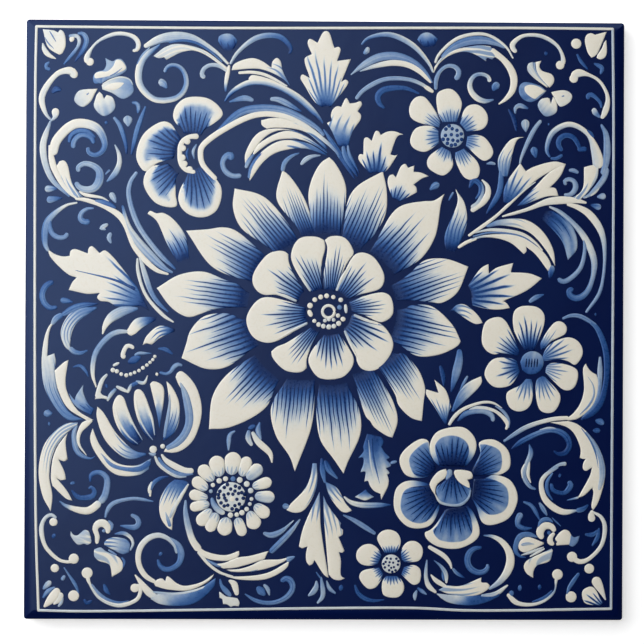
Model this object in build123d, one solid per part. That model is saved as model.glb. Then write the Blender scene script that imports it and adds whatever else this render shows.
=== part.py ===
from build123d import *
import os

# Decorative wall tile: one pressed and fired square that lies flat with its decorated face up.
# Millimetres. The origin is the middle of the back, +Z points out of the decorated face and
# +Y points towards the top of the picture on it.

# Slab
SIDE = 152.4             # square side, the six inch module
THICKNESS = 6.5          # from the back to the decorated face
CORNER_RADIUS = 1.0      # plan radius of the four corners
BACK_ARRIS = 0.4         # chamfer round the back

# Cushion edge, where the decorated face falls away towards the sides
CUSHION_WIDTH = 2.4      # how far the fall runs in from the side
CUSHION_DROP = 0.6       # how far the face has fallen at the side
LIP_RADIUS = 0.5         # soft lip between the fall and the side wall

# Keyed back, pressed with shallow pockets that hold the bedding
KEY_ROWS = 6             # pockets along each side of the keyed field
RIM_WIDTH = 8.0          # flat frame round the keyed field
RIB_WIDTH = 3.2          # flat rib between neighbouring pockets
POCKET_DEPTH = 0.8
POCKET_CORNER_RADIUS = 2.0
POCKET_DRAFT = 30.0      # lean of the pocket walls, in degrees


def cushion_section():
    """Section across the tile: chamfered back, upright sides and an edge that falls in an arc."""
    half = SIDE / 2
    flat = half - CUSHION_WIDTH
    shoulder = THICKNESS - CUSHION_DROP
    with BuildSketch(Plane.XZ) as section:
        with BuildLine():
            Line((-flat, THICKNESS), (flat, THICKNESS))
            TangentArc((flat, THICKNESS), (half, shoulder), tangent=(1, 0))
            Polyline((half, shoulder), (half, 0), (-half, 0), (-half, shoulder))
            TangentArc((-flat, THICKNESS), (-half, shoulder), tangent=(-1, 0))
        make_face()
        back_corners, shoulder_corners, _ = section.vertices().group_by(Axis.Y)
        chamfer(back_corners, BACK_ARRIS)
        fillet(shoulder_corners, LIP_RADIUS)
    return section.sketch


def pressed_blank():
    """Slab with the cushion edge on all four sides, mitred at the corners and rounded in plan."""
    bar = extrude(cushion_section(), amount=SIDE / 2, both=True)
    crossed = bar & (Rot(0, 0, 90) * bar)
    plan = extrude(RectangleRounded(SIDE, SIDE, CORNER_RADIUS), amount=THICKNESS)
    return crossed & plan


def key_pockets():
    """Shallow drafted pockets of the keyed back, on a square grid inside the rim."""
    field = SIDE - 2 * RIM_WIDTH
    pitch = (field + RIB_WIDTH) / KEY_ROWS
    mouth = pitch - RIB_WIDTH
    outline = RectangleRounded(mouth, mouth, POCKET_CORNER_RADIUS)
    pocket = extrude(outline, amount=POCKET_DEPTH, taper=POCKET_DRAFT)
    return [place * pocket for place in GridLocations(pitch, pitch, KEY_ROWS, KEY_ROWS)]


tile = pressed_blank() - key_pockets()

os.makedirs("parts", exist_ok=True)
export_step(tile, "parts/tile.step")
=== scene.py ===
"""Decorative tile: a fired square under navy glaze, with flowers and scrolls in raised cream slip."""
import logging
import math
from dataclasses import dataclass, replace
from enum import Enum
from typing import Sequence

import bpy
import numpy as np
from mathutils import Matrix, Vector, geometry


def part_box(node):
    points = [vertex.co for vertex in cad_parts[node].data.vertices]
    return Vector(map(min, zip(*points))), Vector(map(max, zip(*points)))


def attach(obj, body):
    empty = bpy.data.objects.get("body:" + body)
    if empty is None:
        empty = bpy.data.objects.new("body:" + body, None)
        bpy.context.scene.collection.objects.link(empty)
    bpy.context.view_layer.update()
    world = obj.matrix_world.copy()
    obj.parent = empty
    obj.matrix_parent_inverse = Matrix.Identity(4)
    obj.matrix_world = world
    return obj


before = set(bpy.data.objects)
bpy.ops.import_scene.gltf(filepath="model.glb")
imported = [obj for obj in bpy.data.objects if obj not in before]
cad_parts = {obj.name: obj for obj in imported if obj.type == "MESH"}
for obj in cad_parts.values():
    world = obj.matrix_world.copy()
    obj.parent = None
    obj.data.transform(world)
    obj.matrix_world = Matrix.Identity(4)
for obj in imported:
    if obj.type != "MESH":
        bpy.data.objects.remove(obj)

LOG = logging.getLogger("tile")
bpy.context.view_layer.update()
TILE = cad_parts["tile"]
ROOT = "root"
MM = 0.001
FACE_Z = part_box("tile")[1].z / MM
TINY = 1e-6
ALMOST_NIL = 1e-12

Point = tuple[float, float]
Runs = Sequence[Sequence[Point]]
Colour = tuple[float, float, float]


class Slot(Enum):
    """Material slots of the record; each piece keeps one, but its finish is the material handed to it."""

    CREAM = "cream_slip"
    COBALT = "cobalt_wash"


class Channel(Enum):
    """Values stored at every vertex of the slip, which the slip's finish reads."""

    WASH = "wash"
    LANE = "lane"
    RUN = "run"
    EDGE = "edge"
    INK = "ink"


# Plane curves


def smooth(points: Sequence[Sequence[float]], step: float) -> np.ndarray:
    """Runs a centripetal Catmull-Rom curve through some points.

    Args:
        points: Points to pass through. Columns after x and y, such as a width, are carried along.
        step: Greatest distance between two samples, in millimetres.

    Returns:
        The samples, first and last point included.
    """
    p = np.asarray(points, float)
    q = np.vstack([2 * p[0] - p[1], p, 2 * p[-1] - p[-2]])
    rows = []
    for a, b, c, d in zip(q, q[1:], q[2:], q[3:]):
        pairs = ((a, b), (b, c), (c, d))
        before, here, after = (max(math.dist(u[:2], v[:2]), TINY) ** 0.5 for u, v in pairs)
        leave = here * ((b - a) / before - (c - a) / (before + here) + (c - b) / here)
        arrive = here * ((c - b) / here - (d - b) / (here + after) + (d - c) / after)
        count = max(2, math.ceil(here * here / step))
        t = np.linspace(0, 1, count, endpoint=False)[:, None]
        rows.append((1 + 2 * t) * (1 - t) ** 2 * b + t * (1 - t) ** 2 * leave
                    + t * t * (3 - 2 * t) * c + t * t * (t - 1) * arrive)
    return np.vstack(rows + [p[-1:]])


def segment_distance(points: np.ndarray, starts: np.ndarray, ends: np.ndarray) -> np.ndarray:
    """Gives each point's distance to the nearest of some straight segments.

    Args:
        points: Points of a shape, in millimetres.
        starts: Where the segments start.
        ends: Where they end.

    Returns:
        A distance for each point, in millimetres.
    """
    along = ends - starts
    away = points[:, None] - starts
    share = np.clip((away * along).sum(-1) / np.maximum((along * along).sum(-1), ALMOST_NIL), 0, 1)
    return np.linalg.norm(away - share[..., None] * along, axis=-1).min(1)


def inside(points: np.ndarray, loop: np.ndarray) -> np.ndarray:
    """Tells which points lie inside a closed loop.

    Args:
        points: Points of a shape, in millimetres.
        loop: Closed outline, in millimetres.

    Returns:
        True for each point inside.
    """
    x, y = points[:, :1], points[:, 1:]
    ax, ay = loop.T
    bx, by = np.roll(loop, -1, axis=0).T
    crosses = (ay > y) != (by > y)
    reach = ax + (y - ay) * (bx - ax) / np.where(by == ay, ALMOST_NIL, by - ay)
    return (crosses & (x < reach)).sum(1) % 2 == 1


def ease(values: np.ndarray) -> np.ndarray:
    """Eases values from 0 to 1, flat at both ends."""
    t = np.clip(values, 0, 1)
    return t * t * (3 - 2 * t)


# Brushwork


def deepen(runs: Runs, middle: Point, reach: float) -> Runs:
    """Draws the two feet of an outline further towards the middle of its flower.

    Args:
        runs: The outline.
        middle: Middle of the flower.
        reach: How far the feet move, in millimetres.

    Returns:
        The outline with a new point at each foot.
    """
    feet = []
    for foot in (runs[0][0], runs[-1][-1]):
        way = np.subtract(middle, foot)
        feet.append(tuple(np.add(foot, reach * way / np.linalg.norm(way))))
    longer = [list(run) for run in runs]
    longer[0].insert(0, feet[0])
    longer[-1].append(feet[1])
    return tuple(tuple(run) for run in longer)


@dataclass(frozen=True)
class Brush:
    """How cobalt is brushed over one shape of slip.

    Densities run from 0, bare cream, to 1, the navy of the ground.

    Attributes:
        root: Density of the wash where the shape starts.
        tip: Density of the wash where it ends.
        reach: Share of the shape's length over which the wash goes from root to tip.
        foot: Share of the shape's length over which its start melts into the ground.
        rim: Width of a bare edge that the cobalt keeps clear of, in millimetres.
        ink: Density of the brush lines.
        lines: Brush lines across the shape.
        length: Share of the shape's length that the longest line takes.
        bow: Share by which wash and lines fall short along the shape's two sides.
    """

    root: float = 0.0
    tip: float = 0.0
    reach: float = 0.6
    foot: float = 0.0
    rim: float = 0.0
    ink: float = 0.0
    lines: float = 5.0
    length: float = 0.5
    bow: float = 0.0


@dataclass
class Fan:
    """Brush lines that spread from one point."""

    focus: Point

    def coordinates(self, points: np.ndarray) -> tuple[np.ndarray, np.ndarray]:
        """Gives how far along the shape each point is and how far across, both from 0 to 1.

        Args:
            points: Points of a shape, in millimetres.

        Returns:
            A share along and a share across for each point.
        """
        away = points - np.asarray(self.focus)
        middle = away.mean(0)
        turn = np.arctan2(away[:, 1], away[:, 0]) - math.atan2(middle[1], middle[0])
        turn = (turn + math.pi) % (2 * math.pi) - math.pi
        radius = np.linalg.norm(away, axis=1)
        return spread(radius), spread(turn)


@dataclass
class Spine:
    """Brush lines that run beside a curve."""

    points: Sequence[Point]
    step: float = 0.5

    def coordinates(self, points: np.ndarray) -> tuple[np.ndarray, np.ndarray]:
        """Gives how far along the shape each point is and how far across, both from 0 to 1.

        Args:
            points: Points of a shape, in millimetres.

        Returns:
            A share along and a share across for each point.
        """
        line = smooth(self.points, self.step)
        starts, along = line[:-1], np.diff(line, axis=0)
        length = np.linalg.norm(along, axis=1)
        travelled = np.concatenate([[0], np.cumsum(length)])
        away = points[:, None] - starts
        share = np.clip((away * along).sum(-1) / length ** 2, 0, 1)
        offset = away - share[..., None] * along
        nearest = np.linalg.norm(offset, axis=-1).argmin(1)
        row = np.arange(len(points))
        out = offset[row, nearest]
        way = along[nearest] / length[nearest, None]
        side = way[:, 0] * out[:, 1] - way[:, 1] * out[:, 0]
        position = travelled[nearest] + share[row, nearest] * length[nearest]
        return spread(position), spread(side)


def spread(values: np.ndarray) -> np.ndarray:
    """Spreads values evenly from 0 to 1."""
    low, high = values.min(), values.max()
    return (values - low) / max(high - low, ALMOST_NIL)


# Slip meshes


@dataclass(frozen=True)
class BareRim:
    """Edge of a shape that the cobalt keeps clear of.

    Attributes:
        start: Share of the shape's length where the rim starts.
        growth: Share of that length over which it reaches its full width.
        whole: Width from which it is quite bare, in millimetres.
        least: Smallest width that is told apart, in millimetres.
        inner: Share of its width where the cobalt comes back.
        fade: Share of its width over which it does so.
    """

    start: float = 0.26
    growth: float = 0.4
    whole: float = 0.4
    least: float = 0.05
    inner: float = 0.6
    fade: float = 0.8

    def clear(self, width: float, along: np.ndarray, edge: np.ndarray) -> np.ndarray:
        """Gives the share of the cobalt that each point takes.

        Args:
            width: Full width of the rim, in millimetres.
            along: How far along the shape each point is, from 0 to 1.
            edge: Each point's distance from the painted edge, in millimetres.

        Returns:
            Shares from 0 in the rim to 1 inside it.
        """
        bare = width * ease((along - self.start) / self.growth)
        back = ease((edge / np.maximum(bare, self.least) - self.inner) / self.fade)
        return 1 - ease(bare / self.whole) * (1 - back)


@dataclass(frozen=True)
class SlipBody:
    """Section of the raised slip, in millimetres.

    Attributes:
        height: Height of its rolled edge.
        roll: Width of that edge.
        crown: How much higher its middle lies.
        crown_width: Distance over which it rises so.
        bury: How deep it is seated in the face.
        sunk: Share of its height by which a foot painted navy sinks.
        sink_from: Density of the wash where sinking starts.
        sink_over: Density over which it is complete.
    """

    height: float = 0.08
    roll: float = 0.3
    crown: float = 0.03
    crown_width: float = 1.5
    bury: float = 0.06
    sunk: float = 1.08
    sink_from: float = 0.84
    sink_over: float = 0.16

    def section(self, edge: np.ndarray) -> np.ndarray:
        """Gives the height of the slip at some distances from its edge."""
        roll = np.clip(edge / self.roll, 0, 1)
        return self.height * np.sqrt(1 - (1 - roll) ** 2) + self.crown * ease(edge / self.crown_width)


class SlipMesh:
    """Gathers shapes of slip into one mesh, each a thin closed solid seated in the tile's face.

    Attributes:
        body: Section of the slip.
        rim: Bare edge of the shapes that have one.
        step: Greatest distance between two points of an outline, in millimetres.
        spacing: Distance between the points inside an outline, in millimetres.
        least_gap: Distance under which two points of an outline are one, in millimetres.
        edge_rows: Rows of points beside an outline, as shares of the rolled edge.
        row_slack: Share of its depth that a point of such a row keeps from the outline.
        row_gap: Share of the spacing that the points inside keep from the last row.
        weld: Distance under which the filling joins two points, in millimetres.
        stroke_step: Greatest distance between two rows of a stroke, in millimetres.
        width_step: Greatest distance between two widths of a stroke, in millimetres.
        across: Points across a stroke.
        cap_rows: Rows over the round end of a stroke.
        least_cap: Share of a round end's radius where its first row lies.
        least_half: Smallest half width of a stroke, in millimetres.
        bead_points: Points round a bead.
        lane_gap: Brush lanes between one shape and the next, so that their lines differ.
    """

    body: SlipBody = SlipBody()
    rim: BareRim = BareRim()
    step: float = 0.5
    spacing: float = 0.75
    least_gap: float = 1e-3
    edge_rows: tuple[float, ...] = (0.35, 1.0)
    row_slack: float = 0.9
    row_gap: float = 0.3
    weld: float = 1e-4
    stroke_step: float = 0.6
    width_step: float = 0.4
    across: int = 7
    cap_rows: int = 6
    least_cap: float = 0.0004
    least_half: float = 0.01
    bead_points: int = 16
    lane_gap: float = 37.0

    def __init__(self, name: str, slot: Slot) -> None:
        """Starts an empty mesh.

        Args:
            name: Name of the piece.
            slot: Record slot of the piece; it is kept but not used.
        """
        self.name = name
        self.slot = slot
        self.vertices: list[np.ndarray] = []
        self.faces: list[tuple[int, ...]] = []
        self.channels: dict[Channel, list[np.ndarray]] = {channel: [] for channel in Channel}
        self.count = 0
        self.shapes = 0

    def fill(self, runs: Runs, brush: Brush, flow: Fan | Spine | None = None, lift: float = 0.0) -> None:
        """Adds a filled shape.

        Args:
            runs: The outline from the foot of one side round to the foot of the other, as smooth runs
                of points that meet in corners. A straight foot closes it.
            brush: How the shape is painted.
            flow: Which way the brush lines run.
            lift: How far the shape lies above the face, over other slip, in millimetres.
        """
        loop, foot = self._outline(runs)
        flat, triangles = self._triangulate(loop)
        edge = segment_distance(flat, loop, np.roll(loop, -1, axis=0))
        open_edge = segment_distance(flat, foot[:-1], foot[1:])
        if flow is None:
            along, over = np.zeros(len(flat)), np.zeros(len(flat))
        else:
            along, over = flow.coordinates(flat)
        along = along / (1 - brush.bow * (2 * over - 1) ** 2)
        wash = brush.root + (brush.tip - brush.root) * ease(along / max(brush.reach, TINY))
        if brush.foot:
            wash = wash + (1 - wash) * (1 - ease(along / brush.foot))
        clear = np.ones(len(flat))
        if brush.rim:
            clear = self.rim.clear(brush.rim, along, open_edge)
        self._add_solid(flat, triangles, edge, wash * clear, along, over, brush, lift, brush.ink * clear)

    def stroke(self, points: Sequence[Point], widths: Sequence[float], tones: Sequence[float] = (0.0,),
               shade: float = 0.0, brush: Brush = Brush(), lift: float = 0.0) -> None:
        """Adds a brush stroke of changing width with round ends.

        Args:
            points: Points of its middle line.
            widths: Its widths in millimetres, spread evenly from start to end.
            tones: Densities of its wash, spread evenly from start to end.
            shade: Density added on its left side, or on its right side if negative.
            brush: Brush lines along the stroke.
            lift: How far it lies above the face, in millimetres.
        """
        line = smooth(points, self.stroke_step)
        gaps = np.linalg.norm(np.diff(line, axis=0), axis=1)
        place = np.concatenate([[0], np.cumsum(gaps)])
        total = place[-1]
        first, last = widths[0] / 2, widths[-1] / 2
        caps = 1 - np.cos(np.linspace(0, math.pi / 2, self.cap_rows))
        wanted = np.unique(np.concatenate([place, caps * first, total - caps * last]).clip(0, total))
        x, y = (np.interp(wanted, place, line[:, i]) for i in range(2))
        stations = np.linspace(0, total, len(widths)) if len(widths) > 1 else np.array([0.0, total])
        broad = np.resize(widths, len(stations))
        spans = smooth(np.column_stack([stations, np.zeros(len(stations)), broad]), self.width_step)
        width = np.interp(wanted, spans[:, 0], spans[:, 2])
        for end, radius in ((wanted, first), (total - wanted, last)):
            if radius > TINY:
                width = width * np.sqrt(1 - (1 - np.clip(end / radius, self.least_cap, 1)) ** 2)
        way = np.stack([np.gradient(x, wanted), np.gradient(y, wanted)], 1)
        way /= np.linalg.norm(way, axis=1)[:, None]
        normal = np.stack([-way[:, 1], way[:, 0]], 1)
        half = np.maximum(np.abs(width) / 2, self.least_half)
        rows, columns = len(wanted), self.across
        side = np.sin(np.linspace(-1, 1, columns) * math.pi / 2)
        flat = np.stack([x, y], 1)[:, None] + (half[:, None] * side)[..., None] * normal[:, None]
        edge = half[:, None] * (1 - np.abs(side))
        along = np.repeat(wanted / total, columns)
        over = np.tile((side + 1) / 2, rows)
        wash = np.interp(along, np.linspace(0, 1, len(tones)), tones)
        wash = np.clip(wash + abs(shade) * ease(over if shade > 0 else 1 - over), 0, 1)
        index = np.arange(rows * columns).reshape(rows, columns)
        quads = np.stack([index[:-1, :-1], index[1:, :-1], index[1:, 1:], index[:-1, 1:]], -1)
        faces = [tuple(int(i) for i in reversed(quad)) for quad in quads.reshape(-1, 4)]
        ink = np.full(rows * columns, brush.ink)
        self._add_solid(flat.reshape(-1, 2), faces, edge.ravel(), wash, along, over, brush, lift, ink)

    def fills(self, rows: Sequence[tuple], lift: float = 0.0) -> None:
        """Adds filled shapes, each given by its outline, brush and flow."""
        for row in rows:
            self.fill(*row, lift=lift)

    def strokes(self, rows: Sequence[tuple], lift: float = 0.0) -> None:
        """Adds strokes, each given by its points, widths, tones and shade."""
        for row in rows:
            self.stroke(*row, lift=lift)

    def bead(self, middle: Point, radius: float, tone: float = 0.0, lift: float = 0.0) -> None:
        """Adds a round dot.

        Args:
            middle: Its middle.
            radius: Its radius, in millimetres.
            tone: Density of its wash.
            lift: How far it lies above the face, in millimetres.
        """
        turn = np.linspace(0, 2 * math.pi, self.bead_points, endpoint=False)
        ring = np.asarray(middle) + radius * np.stack([np.cos(turn), np.sin(turn)], 1)
        self.fill([[tuple(p) for p in ring]], Brush(root=tone, tip=tone), lift=lift)

    def build(self, finish: bpy.types.Material) -> bpy.types.Object:
        """Makes the object from the gathered shapes and dresses it.

        Args:
            finish: Material of the slip.

        Returns:
            The new object, riding on the tile.
        """
        mesh = bpy.data.meshes.new(self.name)
        mesh.from_pydata((np.vstack(self.vertices) * MM).tolist(), [], self.faces)
        for channel, parts in self.channels.items():
            layer = mesh.attributes.new(channel.value, "FLOAT", "POINT")
            layer.data.foreach_set("value", np.concatenate(parts).astype(np.float32))
        mesh.shade_smooth()
        mesh.materials.append(finish)
        piece = bpy.data.objects.new(self.name, mesh)
        bpy.context.scene.collection.objects.link(piece)
        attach(piece, ROOT)
        LOG.info("%s: %d shapes, %d faces", self.name, self.shapes, len(self.faces))
        return piece

    def _outline(self, runs: Runs) -> tuple[np.ndarray, np.ndarray]:
        """Gives the closed outline, anticlockwise, and its painted side without the foot.

        Args:
            runs: Smooth runs of points that meet in corners.

        Returns:
            The outline and the side.
        """
        parts = []
        end: list[Point] = []
        for run in runs:
            points = smooth(list(end) + list(run), self.step)
            parts.append(points[1:] if end else points)
            end = [tuple(points[-1])]
        side = np.vstack(parts)
        gap = math.dist(side[-1], side[0])
        count = max(1, math.ceil(gap / self.step))
        foot = side[-1] + np.linspace(0, 1, count + 1)[1:-1, None] * (side[0] - side[-1])
        loop = np.vstack([side, foot])
        apart = np.linalg.norm(np.roll(loop, -1, axis=0) - loop, axis=1) > self.least_gap
        loop = loop[apart]
        following = np.roll(loop, -1, axis=0)
        area = (loop[:, 0] * following[:, 1] - following[:, 0] * loop[:, 1]).sum()
        return (loop if area > 0 else loop[::-1]), side

    def _triangulate(self, loop: np.ndarray) -> tuple[np.ndarray, list[tuple[int, ...]]]:
        """Fills an outline with triangles, with extra rows beside its edge for the rolled section.

        Args:
            loop: Closed outline, in millimetres.

        Returns:
            The points of the filling and its faces.
        """
        following = np.roll(loop, -1, axis=0)
        previous = np.roll(loop, 1, axis=0)
        way = following - previous
        normal = np.stack([-way[:, 1], way[:, 0]], 1) / np.linalg.norm(way, axis=1)[:, None]
        points = [loop]
        for share in self.edge_rows:
            depth = share * self.body.roll
            row = loop + depth * normal
            row = row[inside(row, loop)]
            if len(row):
                points.append(row[segment_distance(row, loop, following) > self.row_slack * depth])
        low, high = loop.min(0), loop.max(0)
        xs = np.arange(low[0], high[0], self.spacing)
        ys = np.arange(low[1], high[1], self.spacing * math.sqrt(0.75))
        grid = np.stack(np.meshgrid(xs, ys), -1)
        grid[1::2, :, 0] += self.spacing / 2
        grid = grid.reshape(-1, 2)
        grid = grid[inside(grid, loop)] if len(grid) else grid
        if len(grid):
            depth = segment_distance(grid, loop, following)
            points.append(grid[depth > self.body.roll + self.row_gap * self.spacing])
        every = np.vstack(points)
        edges = [(i, (i + 1) % len(loop)) for i in range(len(loop))]
        found = geometry.delaunay_2d_cdt([Vector(p) for p in every], edges, [], 1, self.weld)
        flat = np.array([tuple(p) for p in found[0]])
        return flat, [tuple(face) for face in found[2]]

    def _add_solid(self, flat: np.ndarray, faces: list[tuple[int, ...]], edge: np.ndarray,
                   wash: np.ndarray, along: np.ndarray, over: np.ndarray, brush: Brush, lift: float,
                   ink: np.ndarray) -> None:
        """Closes a painted sheet into a thin solid and adds it to the mesh.

        Args:
            flat: Points of the sheet, in millimetres.
            faces: Its faces.
            edge: Each point's distance from the edge, in millimetres.
            wash: Density of the wash at each point.
            along: How far along the shape each point is, from 0 to 1.
            over: How far across it is, from 0 to 1.
            brush: How the shape is painted.
            lift: How far the shape lies above the face, in millimetres.
            ink: Density of the brush lines at each point.
        """
        count = len(flat)
        body = self.body
        sunk = 0 if lift else body.sunk * ease((wash - body.sink_from) / body.sink_over)
        top = FACE_Z + lift + body.section(edge) * (1 - sunk)
        under = np.full(count, FACE_Z - body.bury)
        sides: dict[tuple[int, int], int] = {}
        for face in faces:
            for a, b in zip(face, face[1:] + face[:1]):
                sides[(a, b)] = 1
        walls = [(a, a + count, b + count, b) for a, b in sides if (b, a) not in sides]
        solid = list(faces)
        solid += [tuple(i + count for i in reversed(face)) for face in faces]
        solid += walls
        self.faces += [tuple(i + self.count for i in face) for face in solid]
        self.vertices.append(np.vstack([np.column_stack([flat, top]), np.column_stack([flat, under])]))
        self.shapes += 1
        values = {
            Channel.WASH: wash,
            Channel.LANE: over * brush.lines + self.lane_gap * self.shapes,
            Channel.RUN: along / max(brush.length, TINY),
            Channel.EDGE: edge,
            Channel.INK: ink,
        }
        for channel, value in values.items():
            self.channels[channel].append(np.tile(value, 2))
        self.count += 2 * count


# Finishes


class NodeSheet:
    """Lays out the nodes of one material."""

    def __init__(self, name: str) -> None:
        """Starts a material with a principled shader.

        Args:
            name: Name of the material.
        """
        self.material = bpy.data.materials.new(name)
        self.material.use_nodes = True
        self.tree = self.material.node_tree
        self.shader = self.tree.nodes["Principled BSDF"]

    def node(self, kind: str, **values: object) -> bpy.types.Node:
        """Adds a node and sets its properties.

        Args:
            kind: Type of the node.
            values: Its properties by name.

        Returns:
            The node.
        """
        node = self.tree.nodes.new(kind)
        for name, value in values.items():
            setattr(node, name, value)
        return node

    def link(self, source: bpy.types.NodeSocket, target: bpy.types.NodeSocket) -> None:
        """Joins two sockets."""
        self.tree.links.new(source, target)

    def feed(self, socket: bpy.types.NodeSocket, value: object) -> None:
        """Links a socket to another, or sets its own value.

        Args:
            socket: Socket that takes the value.
            value: Another socket, or a plain value.
        """
        if isinstance(value, bpy.types.NodeSocket):
            self.link(value, socket)
        else:
            socket.default_value = value

    def math(self, operation: str, *values: object, clamp: bool = False) -> bpy.types.NodeSocket:
        """Adds a sum of one, two or three values and gives its result.

        Args:
            operation: The sum to do.
            values: Sockets or numbers.
            clamp: Whether the result stays between 0 and 1.

        Returns:
            The result's socket.
        """
        node = self.node("ShaderNodeMath", operation=operation, use_clamp=clamp)
        for socket, value in zip(node.inputs, values):
            self.feed(socket, value)
        return node.outputs[0]

    def ramp(self, value: object, low: object, high: object) -> bpy.types.NodeSocket:
        """Eases a value from 0 at low to 1 at high.

        Args:
            value: Socket or number to ease.
            low: Where the result is 0.
            high: Where the result is 1.

        Returns:
            The result's socket.
        """
        node = self.node("ShaderNodeMapRange", interpolation_type="SMOOTHSTEP")
        for name, given in (("Value", value), ("From Min", low), ("From Max", high)):
            self.feed(node.inputs[name], given)
        return node.outputs["Result"]

    def attribute(self, channel: Channel) -> bpy.types.NodeSocket:
        """Reads one of the values stored in the slip."""
        return self.node("ShaderNodeAttribute", attribute_name=channel.value).outputs["Fac"]

    def position(self) -> bpy.types.NodeSocket:
        """Gives the place on the object, in millimetres.

        Returns:
            The place's socket.
        """
        place = self.node("ShaderNodeTexCoord").outputs["Object"]
        node = self.node("ShaderNodeVectorMath", operation="SCALE")
        self.link(place, node.inputs[0])
        node.inputs["Scale"].default_value = 1 / MM
        return node.outputs[0]

    def noise(self, place: bpy.types.NodeSocket, scale: float, detail: float) -> bpy.types.NodeSocket:
        """Adds noise whose features are about 1 / scale millimetres wide.

        Args:
            place: Place on the object, in millimetres.
            scale: Features to a millimetre.
            detail: Octaves of the noise.

        Returns:
            The noise's socket, from 0 to 1.
        """
        node = self.node("ShaderNodeTexNoise")
        self.link(place, node.inputs["Vector"])
        node.inputs["Scale"].default_value = scale
        node.inputs["Detail"].default_value = detail
        return node.outputs["Fac"]

    def colours(self, value: bpy.types.NodeSocket,
                stops: Sequence[tuple[float, Colour]]) -> bpy.types.NodeSocket:
        """Turns a value into a colour by a row of stops.

        Args:
            value: Socket of the value.
            stops: Places from 0 to 1 with their colours.

        Returns:
            The colour's socket.
        """
        node = self.node("ShaderNodeValToRGB")
        row = node.color_ramp.elements
        while len(row) < len(stops):
            row.new(1.0)
        for element, (place, colour) in zip(row, stops):
            element.position = place
            element.color = (*colour, 1.0)
        self.link(value, node.inputs["Fac"])
        return node.outputs["Color"]

    def bump(self, height: bpy.types.NodeSocket, strength: float, distance: float) -> None:
        """Gives the shader a bump.

        Args:
            height: Height of the surface, from 0 to 1.
            strength: Share of the bump that is used.
            distance: Height of the bump at 1, in millimetres.
        """
        node = self.node("ShaderNodeBump")
        node.inputs["Strength"].default_value = strength
        node.inputs["Distance"].default_value = distance * MM
        self.link(height, node.inputs["Height"])
        self.link(node.outputs["Normal"], self.shader.inputs["Normal"])


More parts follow.
